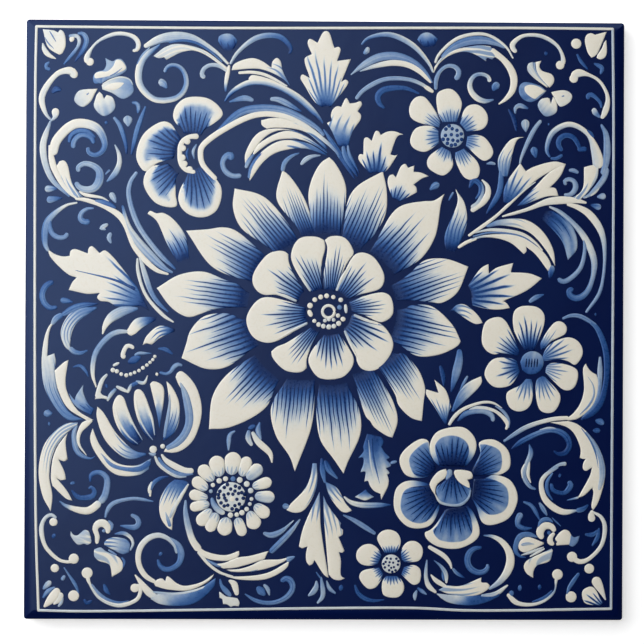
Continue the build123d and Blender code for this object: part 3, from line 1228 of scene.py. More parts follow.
@dataclass
class TopSprays:
    """The leaves, arches and volutes along the top, between the two upper corners."""

    vein_brush: Brush = Brush(root=0.85, reach=0.42, foot=0.06, ink=0.6, lines=9.0, length=1.0, bow=0.72)

    def volutes(self) -> SlipMesh:
        """Builds the two large volutes.

        Returns:
            The gathered shapes.
        """
        mesh = SlipMesh("top_volutes", Slot.CREAM)
        mesh.strokes((
            (((-46.3, 69.3), (-41.5, 71.5), (-34.5, 71.7), (-28.4, 68.4), (-24.8, 65)),
             (1, 2.1, 2.5, 2, 1.3, 0.9, 0.6), (0, 0.22, 0.26, 0.15, 0), -0.15),
            (((-42.2, 69.9), (-46.7, 65.9), (-47.4, 60), (-43.6, 56), (-38.4, 56.2), (-36.3, 57.9),
              (-35.5, 60.1), (-35.9, 62.5), (-37.2, 64.2), (-39.2, 64.7), (-40.5, 64), (-41, 62.8)),
             (0.5, 1.5, 1.8, 1.8, 1.6, 1.5, 1.4, 1.3, 1.2, 1, 0.9),
             (0.45, 0.08, 0, 0, 0, 0.05, 0.15, 0.2, 0.3, 0.3), 0.3),
        ))
        mesh.fill(
            (((-25.1, 64.2), (-31.2, 68.6), (-38, 70.1), (-41, 69.2), (-43.9, 67)),
             ((-42.6, 66.4), (-41.2, 66.7)), ((-40.6, 66),),
             ((-36.6, 68), (-33.8, 68.4), (-30.8, 67.4), (-25.2, 63.4))),
            Brush(ink=0.15, lines=3, length=1.2),
            Spine(((-42.5, 67.4), (-38.5, 69.4), (-34.5, 69.4), (-25.2, 63.8))))
        mesh.stroke(
            ((-40, 70.4), (-36.5, 71), (-33, 70.4), (-29.6, 68.4), (-26.4, 65.6)),
            (0.3, 0.7, 0.7, 0.5, 0.3), (0.6, 0.7, 0.5), lift=0.04)
        mesh.strokes((
            (((-42.6, 60.4), (-41.6, 60.2), (-40.4, 58.8)), (2, 1.8, 0.5), (0.25, 0.45, 0.65)),
            (((-48, 64.8), (-46.6, 67.2), (-44.8, 69.2)), (0.4, 0.7, 0.3), (0.5, 0.3)),
            (((-25.2, 63.2), (-27.3, 64.6), (-29.6, 64.7), (-31.2, 63.6), (-31.5, 62.1), (-30.7, 61.6)),
             (0.5, 1, 1, 1.1, 1.2), (0.15, 0.28, 0.32, 0.25)),
            (((-25.5, 58), (-25.4, 60.4), (-24.6, 64.8)), (0.5, 0.9, 1.1, 0.6), (0.8, 0.1, 0, 0)),
            (((27.8, 65.6), (28.6, 67.6), (33.6, 72), (40.6, 73), (45.8, 69.9), (47.7, 66.9)),
             (0.6, 0.8, 0.9, 0.8, 0.7, 0.4), (0.08,)),
        ))
        mesh.stroke(
            ((29.4, 67.2), (32.2, 69.6), (36, 71.2), (40, 71.5), (43.2, 70.8), (45.6, 69.6)),
            (0.6, 1.6, 2.2, 2.2, 1.6, 0.6), (0.5, 0.52, 0.45), lift=-0.03)
        mesh.fill(
            (((27.4, 63), (28.8, 65.4), (31.2, 67.4), (34.4, 68.5), (37.2, 68.2), (40.8, 66.2)),
             ((41, 67), (42.3, 66.6)), ((43.8, 68),), ((41.8, 70),),
             ((38.8, 70.2), (31.6, 68.6), (29, 66.6), (27.6, 64.6))),
            Brush(root=0.05, ink=0.4, lines=3, length=1.1),
            Spine(((42, 68.6), (38, 69.2), (33, 68.6), (27.6, 63.8))))
        mesh.strokes((
            (((41.6, 69), (44.4, 67.3), (46.7, 64.8), (47.9, 61.8), (47.5, 58.8), (45.9, 56.6), (44, 55.2)),
             (2.2, 1.5, 1.7, 1.9, 1.7, 1.2, 0.3)),
            (((42.8, 56.4), (40.6, 56), (38.6, 56.7), (37, 58.5), (36.7, 60.5), (37.7, 62.3), (39.5, 62.9),
              (41.3, 62.2), (41.8, 60.9)), (0.4, 1.2, 1.5, 1.4, 1.2, 1, 0.9, 1.1),
             (0.45, 0.2, 0, 0, 0.12, 0.35, 0.2, 0), -0.2),
            (((44.2, 60.4), (43.2, 59.8), (42.6, 58.6)), (1.7, 1.9, 0.6), (0.42, 0.55, 0.72)),
            (((28, 58.8), (28.1, 61.4), (29.2, 63.7), (31, 64.9), (32.8, 64.7), (33.8, 63.5), (33.5, 62.1),
              (32.8, 61.6)), (0.8, 1.1, 0.9, 1, 1.3, 1.4), (0.42, 0.38, 0.36, 0.4)),
        ))
        return mesh

    def arches(self) -> SlipMesh:
        """Builds the long arched strokes and the small bells between them.

        Returns:
            The gathered shapes.
        """
        mesh = SlipMesh("top_arches", Slot.CREAM)
        mesh.strokes((
            (((-25.6, 55.4), (-24, 57.8), (-19.6, 60.3), (-14, 60.1), (-7.3, 56.8), (-2.4, 52.2),
              (-0.8, 50)), (0.8, 1.2, 1.5, 1.6, 1.6, 1.7, 1.5, 0.7), (0.7, 0.05, 0, 0, 0.05, 0.15, 0.7),
             -0.5),
            (((-24.6, 55.4), (-20.6, 56.4), (-18.4, 55.8)), (0.4, 1.1, 1.5, 0.9), (0.6, 0.42, 0.36)),
            (((-14.2, 56.2), (-12.2, 56.1), (-6.2, 53.1)), (0.9, 1.5, 1.2, 0.3), (0.36, 0.45, 0.75)),
            (((-24.4, 65), (-22.5, 68), (-17.3, 71.9), (-11.7, 72), (-9, 69), (-9.6, 67.8)),
             (0.6, 0.9, 1.2, 1.4, 1.4, 1.3, 1), (0.1, 0.1, 0.15, 0.25, 0.42, 0.6, 0.8), -0.25),
            (((7.6, 56.3), (9.6, 58.6), (15, 61.4), (21, 61.4), (24, 60.4), (26.6, 58.8)),
             (0.9, 1.2, 1.1, 1, 0.8), (0.42, 0.42, 0.45, 0.4, 0.1)),
            (((24.4, 60.2), (27.4, 58.2)), (0.4, 1.1, 0.7)),
            (((9, 70.2), (10.6, 71.8), (16, 72.8), (22, 70.2), (26.3, 65.4), (27.3, 63.2)),
             (0.5, 0.9, 1.2, 1.4, 1.4, 1.2, 0.9, 0.5), (0.42, 0.3, 0.2, 0.08, 0.05, 0), -0.35),
            (((10.7, 69.6), (10.4, 68.6), (9.5, 67.9)), (0.7, 1.4, 0.6), (0.22, 0.35, 0.6)),
        ))
        mesh.stroke(
            ((6.3, 62.5), (9.5, 65), (13.5, 67), (18, 67.3), (22, 65.9), (25, 63.5), (27.1, 60.6)),
            (0.3, 1.8, 2.2, 2, 1.5, 0.5), (0.36, 0.36, 0.45, 0.5, 0.55, 0.5), lift=-0.03)
        mesh.stroke(
            ((8.6, 63.4), (12.6, 64.8), (17, 65.6), (20.6, 65.2), (23.6, 63.7), (26.8, 60.6)),
            (0.3, 1.1, 1.5, 1.5, 1.3, 0.6), (0.3, 0.05, 0, 0))
        bells: tuple[Runs, ...] = (
            (((-25.4, 67.8), (-26.6, 69.3), (-27.5, 70.9)),
             ((-27.2, 72.1), (-25.6, 72.8), (-24, 72.6), (-22.5, 71.1)), ((-23.2, 69.4), (-24.5, 67.8))),
            (((25.8, 69.2), (24.3, 70.2), (23.2, 71.6)),
             ((24, 72.8), (25.3, 73.4), (26.7, 73.2), (28.5, 71.8)), ((27.7, 70.2), (26.4, 69.2))),
        )
        for runs in bells:
            foot = np.mean([runs[0][0], runs[2][-1]], axis=0)
            top = runs[1][1]
            mesh.fill(
                runs, Brush(root=1, tip=0.36, reach=1, ink=0.9, lines=3, length=0.9),
                Spine((tuple(foot), top)))
        return mesh

    def acanthus(self) -> SlipMesh:
        """Builds the cut leaves that stand above the large flower and to its right.

        Returns:
            The gathered shapes.
        """
        mesh = SlipMesh("top_acanthus_leaves", Slot.CREAM)
        mesh.fills((
            ((((-0.9, 54.2), (-2.6, 55.3), (-5.5, 59.8), (-6.5, 61.6), (-6.1, 62.5), (-4.1, 61.6)),
              ((-5.4, 66.6), (-3.6, 67.7)), ((-4.7, 70.6), (-4.2, 71.6), (-2.2, 70.6)),
              ((-0.6, 73.4), (0.5, 73.5), (2.1, 69.3)), ((3.2, 69.6), (3.7, 69), (2.8, 66)), ((6.3, 66.5),),
              ((3.9, 60.6),), ((5, 61.3), (5.7, 60.7), (1.2, 54.2))), self.vein_brush, Fan((0.2, 51.5))),
            ((((3.2, 44.4), (1.4, 48.4), (0.3, 50.2)), ((1.6, 50.8),),
              ((1.3, 52.2), (1.8, 53.7), (2.9, 54.5), (3.9, 54.3)), ((5.2, 56.6), (6.1, 55.2)),
              ((7.6, 55.4), (8.8, 55.8), (9.2, 55.1), (8.1, 53.2)),
              ((8.9, 52.4), (8.9, 51.3), (6.8, 48), (5.7, 43.8))),
             Brush(root=0.82, reach=0.7, foot=0.1, ink=0.5, lines=4, length=0.95, bow=0.4),
             Spine(((4.4, 43.4), (4.4, 47), (5.6, 51), (7.4, 54.6)))),
            ((((11.2, 37.4), (8.3, 41.3), (8.7, 42.3), (9.6, 42.2)),
              ((9.9, 46.4), (10.6, 46.6), (11.7, 45.7)), ((12.8, 48.3), (13.5, 48.1), (14, 47.2)),
              ((15.5, 48), (17.2, 48.2), (19.8, 47.4)), ((18.4, 47), (16.5, 42.3)),
              ((17.4, 42), (18.3, 42.2)), ((16, 38.7), (14.9, 37.7))),
             Brush(root=0.85, reach=0.55, foot=0.06, ink=0.85, lines=6, length=0.8, bow=0.66),
             Fan((12.6, 34.6))),
            ((((-9.2, 59.6), (-11, 61.4), (-16.6, 63.8), (-24, 63.5)),
              ((-23.4, 65), (-18.8, 66.6), (-16.2, 65.8), (-13.9, 64.2)),
              ((-13.6, 65.8), (-12.5, 66.7), (-11.6, 65.9), (-11, 63.4), (-9.2, 59.8))),
             Brush(root=0.45, reach=0.45, ink=0.5, lines=4, length=0.6),
             Spine(((-9.4, 59.8), (-13, 63.6), (-22, 65)))),
        ))
        mesh.stroke(
            ((-22.3, 62.8), (-19, 63), (-15.6, 62.4), (-9.8, 59.5)), (0.7, 0.8, 0.8, 0.7, 0.3), (0, 0, 0.1))
        mesh.fill(
            (((-11, 59.7), (-14, 61.2), (-19, 62.2), (-19.7, 61.2), (-18.8, 60.5), (-15.6, 60.6),
              (-12, 59.6)),), Brush())
        mesh.stroke(((4.4, 44.4), (5, 41.9), (8.2, 36.6)), (0.8, 1.5, 1.2, 0.5), (0.55, 0.62, 0.75, 0.9))
        mesh.stroke(
            ((-0.6, 48.6), (1.4, 45.6), (7.4, 36)), (0.4, 1.2, 1.5, 1.2, 0.4), (0.6, 0.7, 0.76, 0.8, 0.9),
            lift=-0.03)
        mesh.stroke(((5.6, 44.6), (6, 42.4), (8.6, 37.4)), (0.5, 0.9, 0.7, 0.3), (0.45, 0.55, 0.7, 0.9))
        return mesh

    def build(self, finish: bpy.types.Material) -> None:
        """Builds the pieces along the top."""
        for mesh in (self.volutes(), self.arches(), self.acanthus()):
            mesh.build(finish)


@dataclass
class UpperCorners:
    """The buds, irises and scrolls in the two upper corners."""

    def left(self) -> SlipMesh:
        """Builds the upper left corner.

        Returns:
            The gathered shapes.
        """
        mesh = SlipMesh("upper_left_sprig", Slot.CREAM)
        mesh.fill(
            (((-67.8, 67.1), (-70.6, 69), (-72, 73.6)), ((-69.2, 73.3), (-68.1, 72.8)),
             ((-67.6, 73.5), (-66.6, 72.8), (-66.2, 69.3), (-67, 67.5))), Brush(root=0, tip=0.12, reach=1),
            Spine(((-67.6, 68), (-71.8, 73.4))))
        mesh.strokes((
            (((-70.3, 73.2), (-68.6, 70.4)), (0.15, 0.35, 0.12), (0.5,)),
            (((-71.5, 71.6), (-70.7, 70.2), (-69.2, 68.7)), (0.15, 0.35, 0.12), (0.5,)),
        ), lift=0.1)
        mesh.strokes((
            (((-72, 70.1), (-71.5, 68.3), (-70.5, 67.1), (-68.6, 66.1)), (0.3, 1.1, 1.3, 0.9, 0.2),
             (0.12, 0.05, 0)),
            (((-70.2, 65.3), (-71, 64.7), (-71, 63.7), (-70, 63.4)), (0.4, 0.9, 0.9, 0.8),
             (0.6, 0.6, 0.66)),
            (((-65.4, 71.9), (-63.3, 71.9), (-62.7, 70.8), (-63.1, 69.2), (-66.6, 64.7)),
             (0.9, 1, 0.9, 0.8, 0.9, 0.8, 0.4), (0.45, 0.2, 0.2, 0.4, 0.55, 0.6, 0.66)),
            (((-65.2, 71.4), (-64, 71)), (1.5, 2.2)),
            (((-63.2, 72.6), (-61.8, 72.5), (-60.9, 71.2), (-61.3, 69.2), (-63.8, 65.4)),
             (0.5, 1.2, 1.3, 1.2, 0.9, 0.4), (0.6, 0.5, 0.55, 0.68, 0.8, 0.88)),
            (((-49.2, 68.3), (-48.2, 68.5), (-47.7, 69.6), (-48.1, 71), (-49.5, 72.1), (-53.5, 72.55),
              (-58.5, 70.1), (-60.8, 66.2), (-60.4, 65.2)),
             (0.7, 1.2, 1.2, 1, 1, 1, 0.9, 0.7, 0.7, 1.3, 1.7), (0, 0, 0.02, 0.05, 0.12, 0.05, 0), 0.15),
        ))
        mesh.bead((-60, 65.4), 1)
        mesh.strokes((
            (((-64.1, 61.2), (-64.1, 62.4), (-65, 63.1), (-68.1, 62.4), (-72.1, 56.5), (-71.2, 52.3),
              (-69.9, 50.6)), (2.1, 2, 1.5, 1.3, 1.4, 1.6, 1.6, 1.4, 1, 0.5), (0, 0, 0, 0.05, 0, 0.2),
             0.12),
            (((-68.6, 53.6), (-68.9, 51.2), (-70, 50.2)), (1.6, 1.9, 0.9, 0.4), (0, 0.05, 0.2, 0.35)),
        ))
        mesh.fill(
            (((-57, 59.9), (-58.9, 60), (-59.1, 61.8), (-58, 63), (-56.6, 63.3), (-55.9, 64.5),
              (-56.1, 66.4)),
             ((-54.2, 65.6), (-53.1, 66.2), (-52, 66.1), (-50.6, 63.7), (-51.6, 62.5), (-55.5, 60.9))),
            Brush(root=0.5, tip=0.42), Fan((-57, 59.6)))
        mesh.fill(
            (((-57.4, 61.2), (-58.8, 61.2), (-58.7, 62.4), (-57.4, 63), (-55.6, 63.1), (-54.2, 64.4),
              (-53.4, 65.9), (-52.3, 66), (-50.8, 63.8), (-54.2, 61.9)),), Brush(), lift=0.05)
        mesh.stroke(
            ((-55, 61.8), (-53.4, 62.6), (-51.8, 63.9)), (0.2, 0.35, 0.15), (0.5, 0.42, 0.3), lift=0.12)
        iris = Brush(root=0.0, tip=0.4, reach=1.2)
        mesh.fill(
            (((-57, 59.5), (-55.4, 60.7), (-51.4, 61.6), (-49.7, 60.9), (-48.9, 57.8), (-51.5, 56),
              (-54.4, 57.5), (-56.8, 58.4)),), Brush(root=0.1, tip=0.44, reach=1), Fan((-57.4, 59)))
        mesh.fill(
            (((-56.8, 58.7), (-55.2, 59.8), (-53.2, 60.3), (-51, 60.2)),
             ((-52.2, 58.9), (-53.6, 58.2), (-55.2, 58.2))), Brush(), lift=0.05)
        mesh.stroke(
            ((-56.8, 59.7), (-54.6, 60.9), (-52, 61.5), (-49.9, 60.9), (-49.1, 59.6)), (0.3, 0.5, 0.5, 0.3),
            (0.1, 0.1, 0.25), lift=0.05)
        mesh.fill(
            (((-58, 58.6), (-62.9, 57.9), (-63.9, 55.5), (-61.8, 53.9), (-59.8, 55.2), (-58.7, 57.3)),),
            Brush(tip=0.28, reach=1.4), Fan((-57.8, 58)))
        mesh.stroke(((-60.8, 57), (-60.2, 57.5)), (0.4, 0.2), (0.5,), lift=0.1)
        mesh.fill(
            (((-58.3, 56.9), (-58.9, 54), (-56.4, 51.6), (-53.6, 53.5), (-54.2, 56.4), (-55.7, 57)),
             ((-56.4, 56),), ((-56.9, 57.2), (-57.6, 57.8))), iris, Spine(((-57.2, 57.8), (-55.6, 51.8))))
        mesh.strokes((
            (((-53.9, 51.4), (-52.4, 49.4), (-50.8, 44.4), (-50.6, 42)), (0.7, 1.2, 1, 0.6),
             (0.45, 0.55, 0.7, 0.9)),
            (((-45.8, 54.2), (-47.8, 48.6), (-49.4, 41.8)), (0.5, 1.2, 1.2, 0.6), (0.66, 0.6, 0.62, 0.9)),
            (((-49.3, 55.1), (-48.1, 54.9), (-47.6, 54), (-47.8, 52.4)), (0.6, 1, 1.1, 0.4),
             (0.62, 0.5, 0.5, 0.7)),
            (((-50.4, 51.8), (-50.2, 49)), (2, 2.3, 0.3), (0.36, 0.3, 0.42)),
            (((-56.2, 50.1), (-55.4, 49.9)), (0.9, 1), (0.7, 0.75)),
            (((-69.6, 57.4), (-68.6, 58.4), (-67.2, 58.2)), (0.8, 1.6, 0.8), (0.86, 0.8, 0.86)),
            (((-64.2, 43.4), (-63.9, 45.2), (-62.6, 46.6), (-60.9, 46.8), (-59.5, 46), (-58.9, 44.6)),
             (1.2, 1.3, 1.2, 1.4, 1), (0.5, 0.5, 0.6, 0.66)),
            (((-65.2, 44.8), (-64.8, 46.5), (-63, 47.8), (-60.6, 47.7), (-58.5, 46.2)),
             (0.8, 1.2, 1.2, 0.6), (0.72, 0.66, 0.72)),
            (((-69.3, 41.6), (-68.3, 45.4), (-63.6, 49.6), (-58.2, 48.6), (-56.1, 44.4), (-57, 42.4),
              (-58.8, 41.7), (-60.2, 42.4), (-60.4, 43.7)), (2, 2.4, 2.4, 2.4, 2.3, 2.2, 1.8, 1.4, 1.2, 1),
             (0, 0, 0, 0, 0, 0.12, 0.42, 0.58, 0.6, 0.5), -0.06),
        ))
        return mesh

    def right(self) -> SlipMesh:
        """Builds the upper right corner.

        Returns:
            The gathered shapes.
        """
        mesh = SlipMesh("upper_right_sprig", Slot.CREAM)
        mesh.bead((63.8, 70.8), 1.3)
        mesh.fills((
            ((((67.7, 67.2), (66.8, 68.4), (66, 71.8), (66.5, 73.1), (67.6, 73.5), (68.6, 73.1)),
              ((71.6, 73.9),), ((69.3, 68.5), (68.6, 67.6))), Brush()),
            ((((69.2, 68), (70.3, 69.6), (71, 71.3), (71.5, 71.8)),
              ((71.6, 68.3), (71, 67.2), (69.9, 66.8), (69, 67.2))), Brush()),
        ))
        mesh.strokes((
            (((64, 68.2), (65, 66.3), (66.8, 64.3)), (0.5, 0.9, 0.4), (0.75, 0.68, 0.78)),
            (((68.3, 65.8), (70.4, 64.6), (70, 63)), (0.4, 1.1, 1.1, 0.4), (0.75, 0.66, 0.7)),
            (((67, 56.6), (66.8, 57.5), (67.7, 57.8), (70, 55.8), (70.3, 54.4)), (1, 1.2, 1, 0.9, 0.5),
             (0.7, 0.68, 0.72)),
            (((48.3, 52.8), (48.3, 54.2), (49.2, 54.9), (51.6, 54.2)), (0.4, 1, 1.2, 0.4),
             (0.5, 0.36, 0.4, 0.7)),
            (((50.8, 51.4), (51, 48.2)), (1.9, 2, 0.3), (0.28, 0.32, 0.45)),
            (((56.6, 50.2), (57, 50.2)), (1.1, 1.2), (0.68,)),
            (((54.9, 51.2), (53.2, 48.9), (50, 42), (49.5, 40)), (0.9, 1.2, 1, 0.5), (0.36, 0.4, 0.4, 0.3)),
            (((41, 40), (42.3, 40.2), (43.3, 39.9)), (0.3, 0.9, 0.5), (0.5, 0.36)),
            (((46.6, 54), (48, 51.4), (48.6, 48.4)), (0.5, 1.2, 0.5), (0.88,)),
            (((52.9, 44.4), (53.6, 41.6)), (1.6, 1.8, 0.4), (0.55, 0.62, 0.8)),
            (((57.3, 41.5), (58.8, 41.5), (60.4, 42.4)), (0.5, 0.9, 0.8), (0.62, 0.66)),
            (((60.3, 43.4), (59.4, 44.8), (59.6, 46.4), (61.2, 47.4), (63.2, 46.8), (65.2, 43.4)),
             (1, 1.4, 1.3, 1.2, 0.9), (0.7, 0.72, 0.76, 0.8)),
            (((64.2, 43.8), (66.6, 44)), (1.2, 1.4), (0.76, 0.82)),
            (((70.2, 50.3), (71.5, 47.6), (71.6, 41), (70.6, 37.4)), (0.6, 1.5, 1.8, 1.7, 1.2),
             (0.5, 0.42, 0.42, 0.42)),
            (((66.6, 48.8), (68.4, 46.9)), (0.4, 1.2, 0.4), (0.75,)),
            (((48.6, 68.6), (47.8, 69.2), (47.5, 70.4), (50, 72.6), (55, 72.6), (59.2, 69.9), (60.5, 66.4),
              (60, 65.4)), (1, 1.4, 1.1, 0.9, 0.9, 1, 1, 0.9, 0.8, 1, 1.6), (0, 0, 0.08, 0.05, 0), -0.12),
        ))
        mesh.bead((59.7, 65.3), 1.1)
        mesh.stroke(
            ((63.2, 61.8), (63.7, 63), (65.2, 63.3), (69.5, 61.5), (71.9, 57), (70.9, 52.7), (70.2, 51.8)),
            (2.1, 2, 0.9, 0.8, 0.8, 0.9, 1.2, 1.6, 0.9), (0,), -0.1)
        mesh.bead((63.2, 61.9), 1.1)
        mesh.stroke(((68.3, 54.4), (68.6, 53.4), (70, 52)), (1, 1.5, 1.1, 0.5), (0.18, 0.3, 0.6, 0.5))
        mesh.fills((
            ((((56.4, 59.5), (52.3, 62.6), (51.3, 64.2), (51.6, 65.6), (52.8, 66.1)),
              ((53, 64.4), (54.2, 62.2), (56.6, 59.9))), Brush(tip=0.2, reach=1),
             Spine(((56.4, 59.8), (52, 65.6)))),
            ((((56.9, 59.6), (53.9, 63.2), (53.4, 66)), ((54.9, 66.4),),
              ((54.4, 65), (55, 63.9), (57.6, 62.9), (58.2, 61.7), (57.9, 60.5), (57.1, 59.6))), Brush()),
        ))
        mesh.stroke(
            ((53.1, 66), (53.3, 64.2), (54.6, 61.9), (56.6, 59.8)), (0.5, 0.5, 0.4, 0.2), (0.42, 0.36, 0.3))
        mesh.fill(
            (((56.2, 58.7), (54.5, 60), (50.6, 60.9), (49.4, 60), (49.2, 58.3), (50.2, 56.6), (52, 55.8),
              (53.6, 56.3), (55.2, 57.6)),), Brush(root=0.3, tip=0.55, reach=1), Fan((56.6, 58.6)))
        mesh.fill(
            (((56, 58.6), (54.3, 59.8), (52, 60.3), (50.6, 59.7), (50.7, 58.4), (53.2, 56.6),
              (54.6, 57.6)),), Brush(), lift=0.05)
        mesh.fill(
            (((57.4, 58.4), (60.4, 58.9), (62, 58.5), (62.8, 57.4), (62.3, 56), (59.8, 54.7),
              (58.1, 57.2)),), Brush(tip=0.1, reach=1), Fan((57.2, 58.2)))
        mesh.stroke(((60.1, 57.3), (60.8, 57.5)), (0.3, 0.4), (0.45,), lift=0.1)
        mesh.fills((
            ((((56.5, 57), (54.9, 56.6), (54, 55), (56, 52.2), (58.8, 53.3), (58.7, 56.2), (57.9, 57.2)),
              ((57.4, 55.4),), ((57, 56.8),)), Brush(tip=0.5, reach=1.3),
             Spine(((58.2, 56.6), (55.2, 52.6)))),
            ((((44.6, 36.8), (43.9, 39.5), (44.1, 41.8), (46.8, 45.9), (48.3, 46.7), (50.6, 46.9)),
              ((48.9, 46.2), (46.4, 36.8))), Brush(root=0.55, reach=0.7, ink=0.5, lines=4, length=0.9),
             Spine(((45.6, 36.6), (45.6, 41), (48.6, 46.4)))),
        ))
        mesh.stroke(
            ((69.6, 39), (69.2, 42.2), (66.8, 47.8), (62.2, 50.2), (57.8, 48), (56.4, 43.4), (57.2, 41.8)),
            (2.8, 2.8, 2.2, 1.3, 1.2, 1.3, 1.4, 1.4, 1.3, 1.1, 0.6), (0, 0, 0, 0, 0.02, 0.15, 0.35, 0.6),
            0.2)
        return mesh

    def build(self, finish: bpy.types.Material) -> None:
        """Builds both corners."""
        for mesh in (self.left(), self.right()):
            mesh.build(finish)


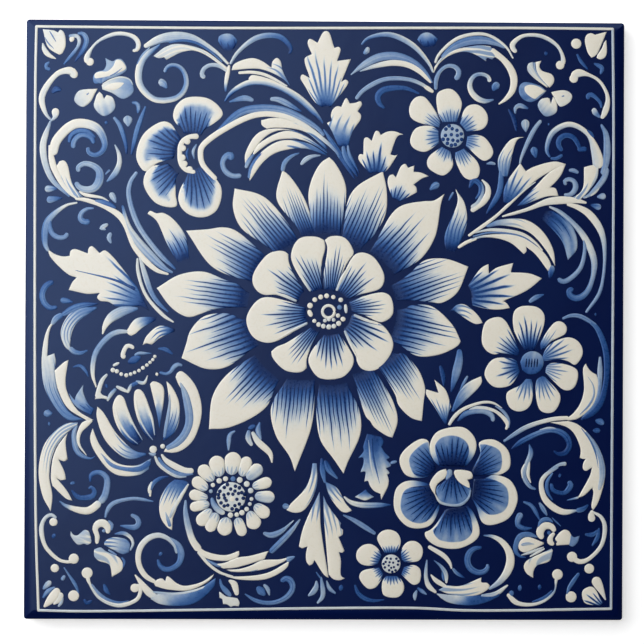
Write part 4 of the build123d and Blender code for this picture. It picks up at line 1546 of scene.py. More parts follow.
@dataclass
class LeftBranch:
    """The cut leaf, long stems and scrolls at the left of the large flower."""

    def leaves(self) -> SlipMesh:
        """Builds the cut leaf and the narrow leaves beside it.

        Returns:
            The gathered shapes.
        """
        mesh = SlipMesh("left_leaves", Slot.CREAM)
        mesh.fill(
            (((-47.8, 8.4), (-56, 17.5), (-57.3, 16.8)), ((-59.4, 18.6), (-60.1, 18), (-60.3, 16.7)),
             ((-63.8, 17.8), (-64.7, 17.3), (-64.9, 16.1)), ((-66.4, 15.9), (-68.4, 16.4), (-70.5, 17.7)),
             ((-69.8, 15.8), (-65, 11.2), (-63.1, 10.6)), ((-64.2, 9.4), (-65.1, 7.4)),
             ((-60, 6.4), (-57.2, 6.7)), ((-57.9, 5.6), (-57.2, 4.7), (-55, 4.4), (-53.2, 3.3)),
             ((-50.4, 3.2), (-47, 3.4), (-44.6, 2.2))),
            Brush(root=0.95, reach=0.42, ink=0.75, lines=9, length=0.62), Fan((-42.5, 3.4)))
        mesh.stroke(
            ((-63.4, 12.4), (-53.2, 9.9), (-48.2, 7.7)), (0.15, 0.35, 0.6, 0.8), (0.4, 0.65, 0.85),
            lift=0.12)
        mesh.fills((
            ((((-37, 13.6), (-40.2, 19.2), (-43, 25.2), (-45.2, 26.9)),
              ((-44.6, 27.6), (-43, 27), (-41.3, 27.1), (-39, 25.8), (-35.6, 21.4), (-34.4, 14.6))),
             Brush(root=1, reach=0.68, ink=0.9, lines=5, length=0.75),
             Spine(((-35.6, 13.6), (-38.4, 20.4), (-43.8, 26.8)))),
            ((((-68.4, 38.8), (-66.3, 34), (-64.8, 32), (-63.2, 30.8)), ((-61.6, 31.1),),
              ((-63.4, 33), (-64.6, 35.2), (-65.6, 39.3), (-66.5, 40.3), (-67.6, 40.1))),
             Brush(ink=0.4, lines=3, length=0.8), Spine(((-63, 31.2), (-65.4, 35), (-67, 40)))),
        ))
        mesh.strokes((
            (((-70.2, 44.2), (-68.9, 38.2), (-65.4, 32.5), (-63.2, 30.8)), (0.5, 1.6, 1.5, 1.2, 0.7),
             (0, 0, 0.05)),
            (((-69.9, 50.4), (-71.8, 43.6), (-69.8, 36), (-65, 31.1)), (0.5, 1.4, 1.7, 1.6, 1.4, 1, 0.5),
             (0.35, 0.15, 0.12, 0.2, 0.25, 0.35, 0.55)),
            (((-69.6, 42.6), (-69, 39.4), (-67.4, 35.8), (-65.4, 32.9)), (0.2, 0.4, 0.4, 0.2),
             (0.62, 0.8, 0.62)),
            (((-62.6, 32.5), (-61.3, 31.7), (-56.6, 30.8), (-55, 29.9)), (0.4, 0.9, 0.8, 0.6, 0.3),
             (0, 0, 0.15)),
            (((-58.6, 30.1), (-55.6, 29.4), (-53.2, 28.3)), (0.6, 1.6, 0.8), (0.5, 0.7, 0.75)),
            (((-54.6, 32.2), (-53.2, 29.6)), (1.5, 1.5, 0.4), (0.28, 0.3, 0.5)),
            (((-51.6, 29), (-49.6, 22.5), (-41.1, 13.2), (-38.7, 11.9)),
             (0.6, 1.2, 1.9, 2.2, 2.2, 1.7, 0.5), (0.7, 0.15, 0.22, 0.26, 0.34, 0.42, 0.5)),
            (((-63.6, 30.6), (-60.5, 30.2), (-52.2, 26.2), (-48.2, 18), (-42.9, 12.6), (-39.8, 11.5)),
             (0.6, 1.1, 1.1, 1.4, 1.6, 1.3, 1.3, 1.4, 1.4, 1.1, 0.5), (0,)),
            (((-47.9, 37.5), (-49.5, 35), (-50, 32), (-47.8, 24.5), (-42.3, 16.8), (-38, 12.8)),
             (0.9, 1.2, 1.3, 1.4, 1.3, 1.3, 1.2, 0.5), (0.4, 0.42, 0.42, 0.4, 0.36, 0.36, 0.42, 0.7)),
            (((-47.7, 15.6), (-47.6, 12.5), (-45.6, 6.3), (-41, 1), (-38.4, -0.7)),
             (0.5, 0.9, 0.8, 0.8, 0.9, 0.9, 0.4), (0.12, 0.1, 0.06, 0.06, 0.08)),
            (((-47.2, 16), (-44.2, 7), (-42.4, 4.3), (-39.8, 1.9)), (0.4, 1.2, 1.4, 1.2, 1, 0.4),
             (0.12, 0.18, 0.28, 0.45, 0.5, 0.66)),
        ))
        return mesh

    def curls(self) -> SlipMesh:
        """Builds the blue scrolls and curls.

        Returns:
            The gathered shapes.
        """
        mesh = SlipMesh("left_curls", Slot.COBALT)
        mesh.strokes((
            (((-63, 29.6), (-66, 28.8), (-70.6, 24.6), (-71.1, 19), (-70.3, 17.2)),
             (0.4, 0.8, 1.4, 1.8, 1.6, 0.8), (0.1, 0.12, 0.4, 0.52, 0.6, 0.3)),
            (((-70, 26), (-70, 23.6), (-69.3, 21.7), (-67.7, 20.7), (-66.1, 20.9), (-65.4, 21.9)),
             (0.8, 1.2, 1.3, 1.2, 1.1), (0.55, 0.5, 0.42, 0.42)),
            (((-71.3, 33), (-68, 33.2)), (1.9, 1.5, 0.3), (0.28, 0.42, 0.85)),
            (((-70.8, 30.2), (-66.8, 30.8)), (2.1, 1.4, 0.3), (0.42, 0.55, 0.85)),
            (((-62.7, 37.4), (-62.8, 38.6), (-61.3, 39.5), (-59.2, 39.1), (-57.5, 37.6), (-57.5, 35.2),
              (-58.7, 33.4), (-60.6, 32.9), (-62.5, 33.5), (-63.5, 34.8)),
             (1.1, 1.3, 1.4, 1.7, 2.1, 2.1, 1.8, 1.5, 1.1),
             (0.42, 0.4, 0.34, 0.45, 0.5, 0.42, 0.3, 0.34, 0.45)),
            (((-53.6, 44.4), (-52.6, 42.2), (-52.4, 39.8), (-53.4, 37.2), (-55.6, 34.9)),
             (0.3, 1, 1.3, 1.5, 0.4), (0.3, 0.15, 0.15, 0.4, 0.55)),
            (((-56, 36.8), (-54.8, 38)), (0.4, 0.6), (0.5,)),
            (((-69, 9.6), (-70.9, 8.4), (-71.8, 6.2), (-71.2, 4), (-69.6, 2.8), (-68, 3.1)),
             (1.2, 1.5, 1.5, 1.4, 0.9), (0.82, 0.68, 0.6, 0.66, 0.78)),
            (((-67.2, 4.9), (-64, 4.3)), (1.4, 1.4, 0.3), (0.58, 0.64, 0.8)),
            (((-58.8, 28.2), (-60.5, 28), (-62, 26.9), (-62.2, 25.5), (-61.1, 24.7), (-59.8, 24.9)),
             (0.4, 0.9, 1.2, 1.5, 1.5), (0.5, 0.45, 0.45, 0.55, 0.66)),
            (((-55.2, 24.2), (-57, 23.1), (-55.8, 22.8)), (0.6, 1.2, 0.8, 0.6), (0.26, 0.26, 0.34)),
            (((-54.4, 22), (-55, 20.8), (-54.4, 19.3)), (0.9, 1.2, 0.4), (0.36, 0.34, 0.4)),
        ))
        return mesh

    def build(self, finish: bpy.types.Material) -> None:
        """Builds the leaves and curls."""
        for mesh in (self.leaves(), self.curls()):
            mesh.build(finish)


@dataclass
class RightBranch:
    """The cut leaves, striped leaf and long arcs at the right of the large flower."""

    def leaves(self) -> SlipMesh:
        """Builds the leaves.

        Returns:
            The gathered shapes.
        """
        mesh = SlipMesh("right_leaves", Slot.CREAM)
        mesh.fills((
            ((((16.9, 31.4), (15.8, 35.2), (16.2, 36.8), (17.1, 37.2), (17.9, 36.4)),
              ((19.3, 39.4), (20.3, 39.9), (21, 38.9)), ((22.6, 39.5),), ((22.4, 37.9),),
              ((24.2, 37.7), (26.3, 36.8)), ((24.6, 36.2), (22.4, 34.6)), ((23.1, 34), (23.3, 32.7)),
              ((18.8, 30.2),)),
             Brush(root=0.66, reach=0.5, foot=0.1, ink=0.85, lines=5, length=0.62, bow=0.5),
             Fan((17, 28.4))),
            ((((31.2, 16.8), (30.4, 19.4), (30.5, 22), (33.7, 30.6), (33.1, 33.6)),
              ((35.5, 29.8), (36, 24.5), (32.8, 16.8))),
             Brush(root=0.88, tip=0.04, reach=0.75, foot=0.24, ink=0.75, lines=5, length=0.85),
             Spine(((32, 16.6), (33, 23), (34.6, 28), (33.4, 33)))),
        ))
        mesh.stroke(((32.6, 32.8), (31.4, 30.6)), (0.5, 0.6, 0.3), (0.5, 0.75))
        mesh.fills((
            ((((36.4, 9), (39.8, 13.5), (41.6, 14.5)), ((41.7, 12),), ((43.4, 13.4), (47.9, 14.8)),
              ((47.3, 12.4),), ((52.2, 12.1), (55.3, 10.9)), ((51.4, 7.8), (45.5, 5.1)),
              ((46.4, 4.4), (47.1, 3.3)), ((44.4, 2.9), (41, 3.1), (37.6, 3.9))),
             Brush(root=0.66, reach=0.55, foot=0.1, ink=0.85, lines=7, length=0.72, bow=0.5),
             Fan((32.5, 6))),
            ((((31.8, 2.4), (33.5, 4), (35.4, 4.2), (38.8, 1.6), (40.2, -0.5)),
              ((38.4, -0.8), (32.8, 2.6))), Brush(root=0.9, reach=0.4, ink=0.5, lines=3, length=1),
             Spine(((32, 2.5), (35.5, 2.2), (40, -0.4)))),
            ((((45.3, 30.2), (45.4, 33), (46.2, 35.4), (49.6, 40.3)), ((51, 38.2),),
              ((53, 39.3), (58.5, 40.7), (61.3, 40.1)), ((54.4, 36.4), (46.8, 29.9))),
             Brush(root=0.85, reach=0.45, ink=0.7, lines=5, length=0.65), Fan((44.6, 27))),
            ((((48.8, 29.3), (53.6, 34.4), (56.2, 37.2), (58.6, 39), (61.2, 40)),
              ((60.2, 37.5), (58.6, 35.4), (57.2, 34.1)), ((58.6, 33.9), (59.4, 31.9)),
              ((56.6, 31.8), (50.8, 29.7))), Brush(root=0.8, reach=0.42, ink=0.7, lines=4, length=0.55),
             Fan((46, 27.4))),
            ((((65.9, 39.3), (65.7, 34.3), (64.7, 32.6), (63, 31.6)), ((64.6, 30.6),),
              ((67.6, 33.8), (69.2, 39), (68.6, 40))), Brush(ink=0.4, lines=3, length=0.8),
             Spine(((64.4, 31.4), (66.8, 35), (67.6, 39)))),
            ((((40.8, 24.2), (44, 25.7), (50.6, 25.9), (54, 24.2), (56.8, 21), (58.3, 17.5), (58.6, 14)),
              ((56.4, 17.9), (51.8, 22.7), (45, 24.3), (41.4, 23.8))),
             Brush(root=0.5, reach=0.4, ink=0.3, lines=2, length=0.6),
             Spine(((41, 24), (48, 25.2), (55, 21.4), (58.4, 14.4)))),
            ((((36.9, 20.2), (40, 21.2), (44, 21), (47.4, 19.8), (50.6, 17.1)),
              ((51.3, 17.8), (51.2, 18.9)), ((53.4, 17.2), (56.8, 12.8)),
              ((57.6, 14), (55.8, 17.4), (49.5, 21.6), (41, 21.9), (36.9, 20.9))),
             Brush(root=0.25, reach=0.3), Spine(((37, 20.6), (45, 21.4), (53, 18.4), (57, 13.4)))),
            ((((51.2, 27.4), (54.5, 26.2), (60.2, 20.6), (61.9, 15.6)),
              ((64.2, 18.6), (63.2, 23.8), (58.4, 27.9), (55, 28), (51.6, 27.6))),
             Brush(root=1, tip=0.4, reach=0.8, foot=0.34, ink=0.85, lines=4, length=0.95),
             Spine(((53.4, 28.2), (58.4, 25.6), (61.6, 21.6), (62.4, 16.4)))),
        ))
        mesh.strokes((
            (((56.6, 26.4), (59.4, 24.5), (61.2, 22), (62.2, 19.4)), (0.3, 0.6, 0.9, 0.4),
             (0.4, 0.15, 0.1)),
            (((38, 22.4), (42, 23.2), (50, 22.2), (53.4, 20.1), (55.4, 18)), (0.3, 0.8, 0.9, 0.8, 0.3),
             (0.2, 0.05, 0)),
            (((37.6, 21.5), (42, 22.5), (50, 21.6), (54.2, 18.9)), (0.4, 0.5, 0.5, 0.2), (0.45, 0.5, 0.5)),
            (((57.9, 14.2), (57.3, 10.9)), (1.5, 1.6, 0.5), (0.3, 0.72, 0.92)),
            (((33.8, 18.6), (36, 20), (38.6, 21)), (0.7, 0.9, 0.6), (0,)),
            (((36.4, 21.6), (43, 26.3), (50.5, 33.2), (53.6, 35.5)), (0.6, 0.9, 0.8, 0.8, 0.6, 0.2),
             (0, 0.04, 0.04, 0.1)),
            (((45, 26.6), (51, 28.3), (57, 30.5), (63.6, 30.8), (66.6, 30.2)),
             (0.4, 0.8, 0.9, 1.2, 1.8, 2, 1.5, 0.5), (0.06, 0.05, 0)),
            (((39.8, 36), (41.2, 34.4), (41.4, 32.5), (40.4, 30.6), (37.1, 27.9)),
             (0.3, 1.1, 1.6, 1.7, 1.4, 1.2), (0.1, 0, 0, 0.05)),
            (((37.1, 28.9), (38.9, 30.2), (40.1, 33.6), (39.6, 35.4)), (0.9, 1, 0.9, 0.4),
             (0.2, 0.3, 0.4, 0.6)),
            (((36.6, 33.8), (37.8, 35.8), (39.4, 34.6), (39.4, 32.6), (38.2, 31)), (0.5, 1.5, 1.2, 1, 0.5),
             (0.88, 0.76, 0.72, 0.76)),
            (((44.8, 39.2), (44.3, 33), (41, 27.2)), (0.9, 1.4, 1.5, 1.3, 0.4), (0.55, 0.66, 0.7, 0.9)),
            (((69.3, 39.4), (68.9, 36.6), (65.6, 31.7)), (0.7, 0.8, 0.7, 0.3), (0.1, 0.3, 0.2)),
            (((71.8, 39.2), (71, 36.5), (67.3, 32.2), (65.7, 31.5)), (1.4, 1.5, 1.3, 0.5),
             (0.42, 0.4, 0.36)),
            (((70.4, 35), (68.5, 32.9), (66.2, 31.5)), (0.5, 1, 0.4), (0.15, 0.06)),
            (((61.5, 29.9), (64.5, 29), (67.5, 27.1), (70.8, 21.5), (70.2, 8), (66.5, 2.2)),
             (0.7, 1.4, 1.9, 1.8, 1.4, 1, 0.8, 0.8, 0.9, 0.9, 0.6),
             (0, 0, 0.03, 0.12, 0.3, 0.38, 0.42, 0.45, 0.45, 0.45)),
            (((57, 29.2), (60, 27.7), (65.7, 22), (68.6, 15), (67.3, 8.4), (65.6, 6.4), (63.9, 5.9),
              (62.5, 6.6), (62.2, 7.8), (63.3, 8.3)),
             (0.5, 1, 1.2, 1.3, 1.6, 1.7, 1.7, 1.5, 1.2, 1.3, 1.6, 1.6, 1.2),
             (0.2, 0.32, 0.36, 0.28, 0.12, 0.15, 0.28, 0.36, 0.42, 0.55, 0.66, 0.68)),
            (((65.4, 22.6), (66.2, 19.6), (65, 13.5), (61.2, 10.2), (59.9, 10.4), (59.7, 11.1)),
             (0.3, 0.9, 1, 1.1, 1.2, 1.3, 1.2), (0.5, 0.45, 0.4, 0.42, 0.5)),
            (((69.2, 31.7), (71.5, 32)), (0.4, 1.5, 1.9), (0.6, 0.38, 0.34)),
            (((67.6, 29.7), (70.3, 29)), (0.4, 1.4, 1.8), (0.85, 0.58, 0.42)),
            (((61.3, 34.7), (61, 35.7), (62, 36.2), (63.3, 35.7), (63.8, 34.3), (63.1, 32.8), (61.8, 32.2),
              (60.8, 32.3)), (0.8, 1.1, 1.1, 1.4, 1.4, 1.1, 0.7), (0.42,)),
            (((62, 38.5), (63.3, 38.4), (64.5, 37.8)), (0.7, 1.1, 0.7), (0.45,)),
            (((29, 34.8), (27.9, 34.4), (26.6, 33.3)), (1.6, 1.7, 0.4), (0.52, 0.56, 0.66)),
            (((52, 4.8), (53.5, 5.9), (55.8, 6.8)), (0.8, 1.3, 0.3), (0.48, 0.52, 0.75)),
            (((60.5, 0.6), (62.5, 1.4), (65, 1.3), (69.2, -1)), (0.6, 1, 1.1, 0.8), (0.5, 0.48, 0.55)),
            (((68.7, 1.8), (69.2, 1.8)), (1.3, 1.3), (0.76,)),
        ))
        return mesh

    def build(self, finish: bpy.types.Material) -> None:
        """Builds the branch."""
        self.leaves().build(finish)


@dataclass
class LotusPod:
    """The round flower at the left, with a beaded cup and long petals."""

    heart: Point = (-43.5, -33.0)

    def petals(self) -> SlipMesh:
        """Builds the long petals round the heart.

        Returns:
            The gathered shapes.
        """
        mesh = SlipMesh("lotus_petals", Slot.CREAM)
        mesh.fills((
            ((((-45.2, -34.5), (-48.8, -35.5), (-51, -35), (-55.6, -30.8), (-57.9, -24.6), (-57.7, -22.2)),
              ((-56.3, -23.5), (-52.8, -29), (-48, -33.4), (-45.4, -33.9))),
             Brush(root=0.75, reach=0.45, ink=0.5, lines=3, length=0.7),
             Spine(((-45.3, -34.2), (-51, -33), (-55.5, -27.5), (-57.7, -22.3)))),
            ((((-46.6, -32.3), (-49, -31.5), (-52.6, -27.3), (-53.8, -21.8), (-52.3, -19.2), (-51.2, -19.7),
               (-49.3, -25), (-46.9, -30), (-45.3, -31.6)),),
             Brush(root=1, tip=0, reach=0.85, rim=0.7, ink=0.5, lines=3, length=0.8),
             Spine(((-45.6, -32.2), (-50, -27.6), (-52.4, -19.4)))),
            ((((-44, -31.3), (-45.8, -29), (-48.2, -22.8), (-48.2, -18.2), (-47.3, -17.7), (-46.2, -18.4),
               (-42.9, -28), (-42.8, -31)),),
             Brush(root=1, tip=0, reach=0.85, rim=0.7, ink=0.6, lines=3, length=0.8),
             Spine(((-43.2, -31.4), (-45.4, -25), (-47.4, -17.9)))),
            ((((-42, -27.6), (-42.6, -24), (-44.4, -16.4)), ((-43.6, -15.7), (-41.1, -17), (-41.8, -27.6))),
             Brush(root=0.75, tip=0, reach=0.85, rim=0.5, ink=0.6, lines=2, length=0.7),
             Spine(((-41.9, -27.4), (-42.2, -22), (-42.8, -15.9)))),
            ((((-41, -30.3), (-39.6, -21), (-40.2, -15.7)),
              ((-39, -16.8), (-37, -21), (-37.2, -26.8), (-38.4, -29), (-40.9, -30.9))),
             Brush(root=0.85, reach=0.7, ink=0.7, lines=4, length=0.9, bow=0.3),
             Spine(((-41, -30.6), (-38.4, -23), (-39.8, -16.2)))),
            ((((-40.4, -32.8), (-37, -30.3), (-35.6, -28.2), (-35, -25), (-36, -18.5), (-37.2, -16.4),
               (-37.9, -14.6)),
              ((-37.5, -13.6), (-36.5, -13.1), (-33, -16.5), (-31.2, -23), (-33, -30), (-35.3, -32.6),
               (-38, -33.8), (-40.8, -33.6))), Brush()),
            ((((-44, -35.3), (-47.8, -37.1), (-53, -36.3), (-57, -32), (-58.9, -27.7)),
              ((-59.5, -30), (-58.9, -32.5), (-55, -38), (-52.3, -39.6), (-47, -39.5), (-44.6, -38))),
             Brush(root=0.5, reach=0.3), Spine(((-44.4, -36.8), (-50, -38.6), (-56.6, -34), (-59, -28)))),
        ))
        mesh.strokes((
            (((-40.7, -30), (-39.4, -22), (-39.4, -19)), (0.7, 1, 0.8, 0.2), (0.5, 0.4, 0.3)),
            (((-36.7, -16), (-35.4, -19), (-34.3, -25.5), (-35.3, -28.8), (-37.3, -31.2), (-40.2, -32.8)),
             (0.4, 1.7, 2.1, 2.1, 2, 1.9, 1.1), (0.3, 0.42, 0.46, 0.46, 0.46)),
            (((-53.1, -22.4), (-52.1, -26.2), (-49.9, -29.5), (-47.4, -31.6)), (0.3, 0.7, 0.6, 0.2),
             (0, 0.05, 0.2, 0.45)),
            (((-50.6, -21.6), (-48.9, -26), (-46.2, -30.7)), (0.3, 0.5, 0.2), (0, 0.1, 0.4)),
            (((-47.9, -20.6), (-47.2, -24.6), (-45.4, -28.2), (-43.6, -30.6)), (0.3, 0.6, 0.5, 0.2),
             (0, 0.05, 0.2, 0.4)),
            (((-45.4, -20.6), (-43.9, -25), (-43.1, -29.4)), (0.3, 0.6, 0.25), (0, 0.05, 0.3)),
            (((-56.8, -34), (-53.6, -37.2), (-47, -38), (-44.2, -36.2)), (0.2, 1, 1.1, 1.4, 1.4),
             (0.3, 0.5, 0.52, 0.62, 0.72)),
        ), lift=0.06)
        mesh.strokes((
            (((-43.1, -34.6), (-42, -36.8), (-37.5, -39.8), (-35, -39.9)), (0.5, 0.9, 0.9, 0.8, 0.3),
             (0.1, 0.12, 0.3)),
            (((-42.2, -35), (-40.6, -37.2), (-38.3, -38.7), (-35.6, -39.3), (-33.3, -39.2)),
             (0.6, 1, 1, 0.9, 0.4), (0.6, 0.5, 0.5)),
            (((-41.4, -34.2), (-40.2, -35.8), (-35.5, -38.3), (-33.2, -38.4)), (0.5, 1.3, 1.6, 1.5, 1.4),
             (0.05, 0.03)),
            (((-44.6, -33.9), (-43.6, -34.4), (-42.8, -34)), (0.4, 0.8, 0.4), (0.35,)),
        ))
        mesh.bead(self.heart, 0.95, 0.05)
        mesh.bead((-41.1, -32.2), 0.6, 0.05)
        return mesh

    def cup(self) -> SlipMesh:
        """Builds the beaded cup with its ruffle, and the leaves above it.

        Returns:
            The gathered shapes.
        """
        mesh = SlipMesh("lotus_cup", Slot.CREAM)
        for middle, radius in (
            ((-53.8, -12.9), 0.6), ((-52.8, -13.2), 0.55), ((-51.7, -13.9), 0.48), ((-50.4, -14.2), 0.52),
            ((-49.3, -13.9), 0.46), ((-48.3, -13.5), 0.46), ((-47.2, -13), 0.46), ((-46.2, -12.3), 0.5),
            ((-45.2, -11.6), 0.46), ((-44.4, -10.9), 0.44), ((-43.7, -10.2), 0.42), ((-43.2, -9.4), 0.44),
        ):
            mesh.bead(middle, radius, 0.05)
        mesh.fills((
            ((((-58.4, -20.3), (-57.3, -18.3), (-56.4, -19.2), (-55.2, -19.6)),
              ((-55, -20.3), (-56.6, -20.1))), Brush(root=0.08, tip=0.08)),
            ((((-43, 0.7), (-48, 0.2), (-50.5, -3)), ((-50, -3.8), (-49.2, -4.2)),
              ((-48.2, -3.7), (-46.5, -2.2), (-42.2, 0.2))),
             Brush(root=1, reach=0.8, ink=0.4, lines=3, length=0.8),
             Spine(((-42, 0.6), (-46.4, -0.6), (-49.9, -3.5)))),
            ((((-38.2, -2.4), (-42, -1.6), (-45.3, -4.2), (-46.3, -6.5)), ((-45.4, -6.1), (-44, -6.4)),
              ((-41.8, -4.6), (-38.2, -3))), Brush(root=0.9, reach=0.55, ink=0.7, lines=3, length=0.95),
             Spine(((-38, -2.6), (-42, -3), (-45.4, -6.2)))),
        ))
        mesh.strokes((
            (((-50, -3.1), (-52.5, -3.2), (-54.8, -4.3), (-58.2, -8.6), (-58.9, -14), (-58, -17.3)),
             (0.8, 1.3, 1.4, 1.4, 1.4, 1.3, 1.2, 0.8, 0.3), (0.2, 0.3, 0.42, 0.45, 0.42, 0.2, 0.05, 0)),
            (((-48.5, -7.4), (-49.3, -6.8), (-50.3, -6.8), (-51.3, -9.2), (-50.7, -9.8)),
             (0.9, 1, 1.1, 1.1, 1.2, 1.4), (0.04,)),
            (((-48.3, -9.2), (-47.5, -8.7), (-44, -8.6)), (0.6, 0.9, 0.6, 0.2), (0.5, 0.42, 0.6)),
            (((-50, -11), (-46.8, -9.5)), (0.8, 2, 0.8), (0.86, 0.74, 0.78)),
            (((-53.8, -11.8), (-52.2, -11)), (0.6, 0.8, 0.5), (0.12,)),
            (((-55.2, -13.9), (-56.5, -15.5), (-57.9, -19.9)), (0.6, 1.1, 1.2, 1.1), (0.2, 0.1, 0.06)),
            (((-55.2, -20.8), (-54.3, -19.1), (-53, -17.6)), (0.5, 1, 0.8), (0.15, 0.25, 0.5)),
            (((-53, -17), (-50, -18.4)), (0.6, 1, 0.6), (0.2, 0.08)),
            (((-50.1, -18.7), (-49, -16.3)), (0.6, 0.9, 0.6), (0.1, 0.2, 0.5)),
            (((-49.2, -16.8), (-47.4, -16)), (1, 1), (0.68,)),
            (((-48, -15.7), (-45.9, -16.1), (-45, -14.2)), (0.5, 0.9, 0.9, 0.5, 0.2), (0.4, 0.15, 0.1)),
            (((-55.5, -16.4), (-55.3, -17.4)), (0.6, 0.8), (0.74,)),
            (((-43, -14), (-42.3, -13.8)), (0.9, 1.1), (0.03,)),
            (((-42, -13.4), (-40.4, -13.8), (-39.2, -13.3), (-38.3, -12), (-37.2, -11.4), (-36.2, -11.7)),
             (0.7, 0.8, 0.9, 1.1, 1.1, 0.5), (0.66, 0.6, 0.5, 0.46, 0.5)),
            (((-42.4, -7.4), (-40.5, -7.6), (-38.6, -8.8)), (0.4, 1.1, 0.4), (0.76, 0.7, 0.82)),
            (((-47.5, 2.8), (-51.5, 2), (-54.3, 0.4), (-55.8, -1.6), (-56.5, -3.8)),
             (0.6, 2.2, 2.6, 1.7, 0.3), (0.6, 0.4, 0.3, 0.05, 0)),
        ))
        return mesh

    def build(self, finish: bpy.types.Material) -> None:
        """Builds the petals and the cup."""
        self.petals().build(finish)
        self.cup().build(finish)


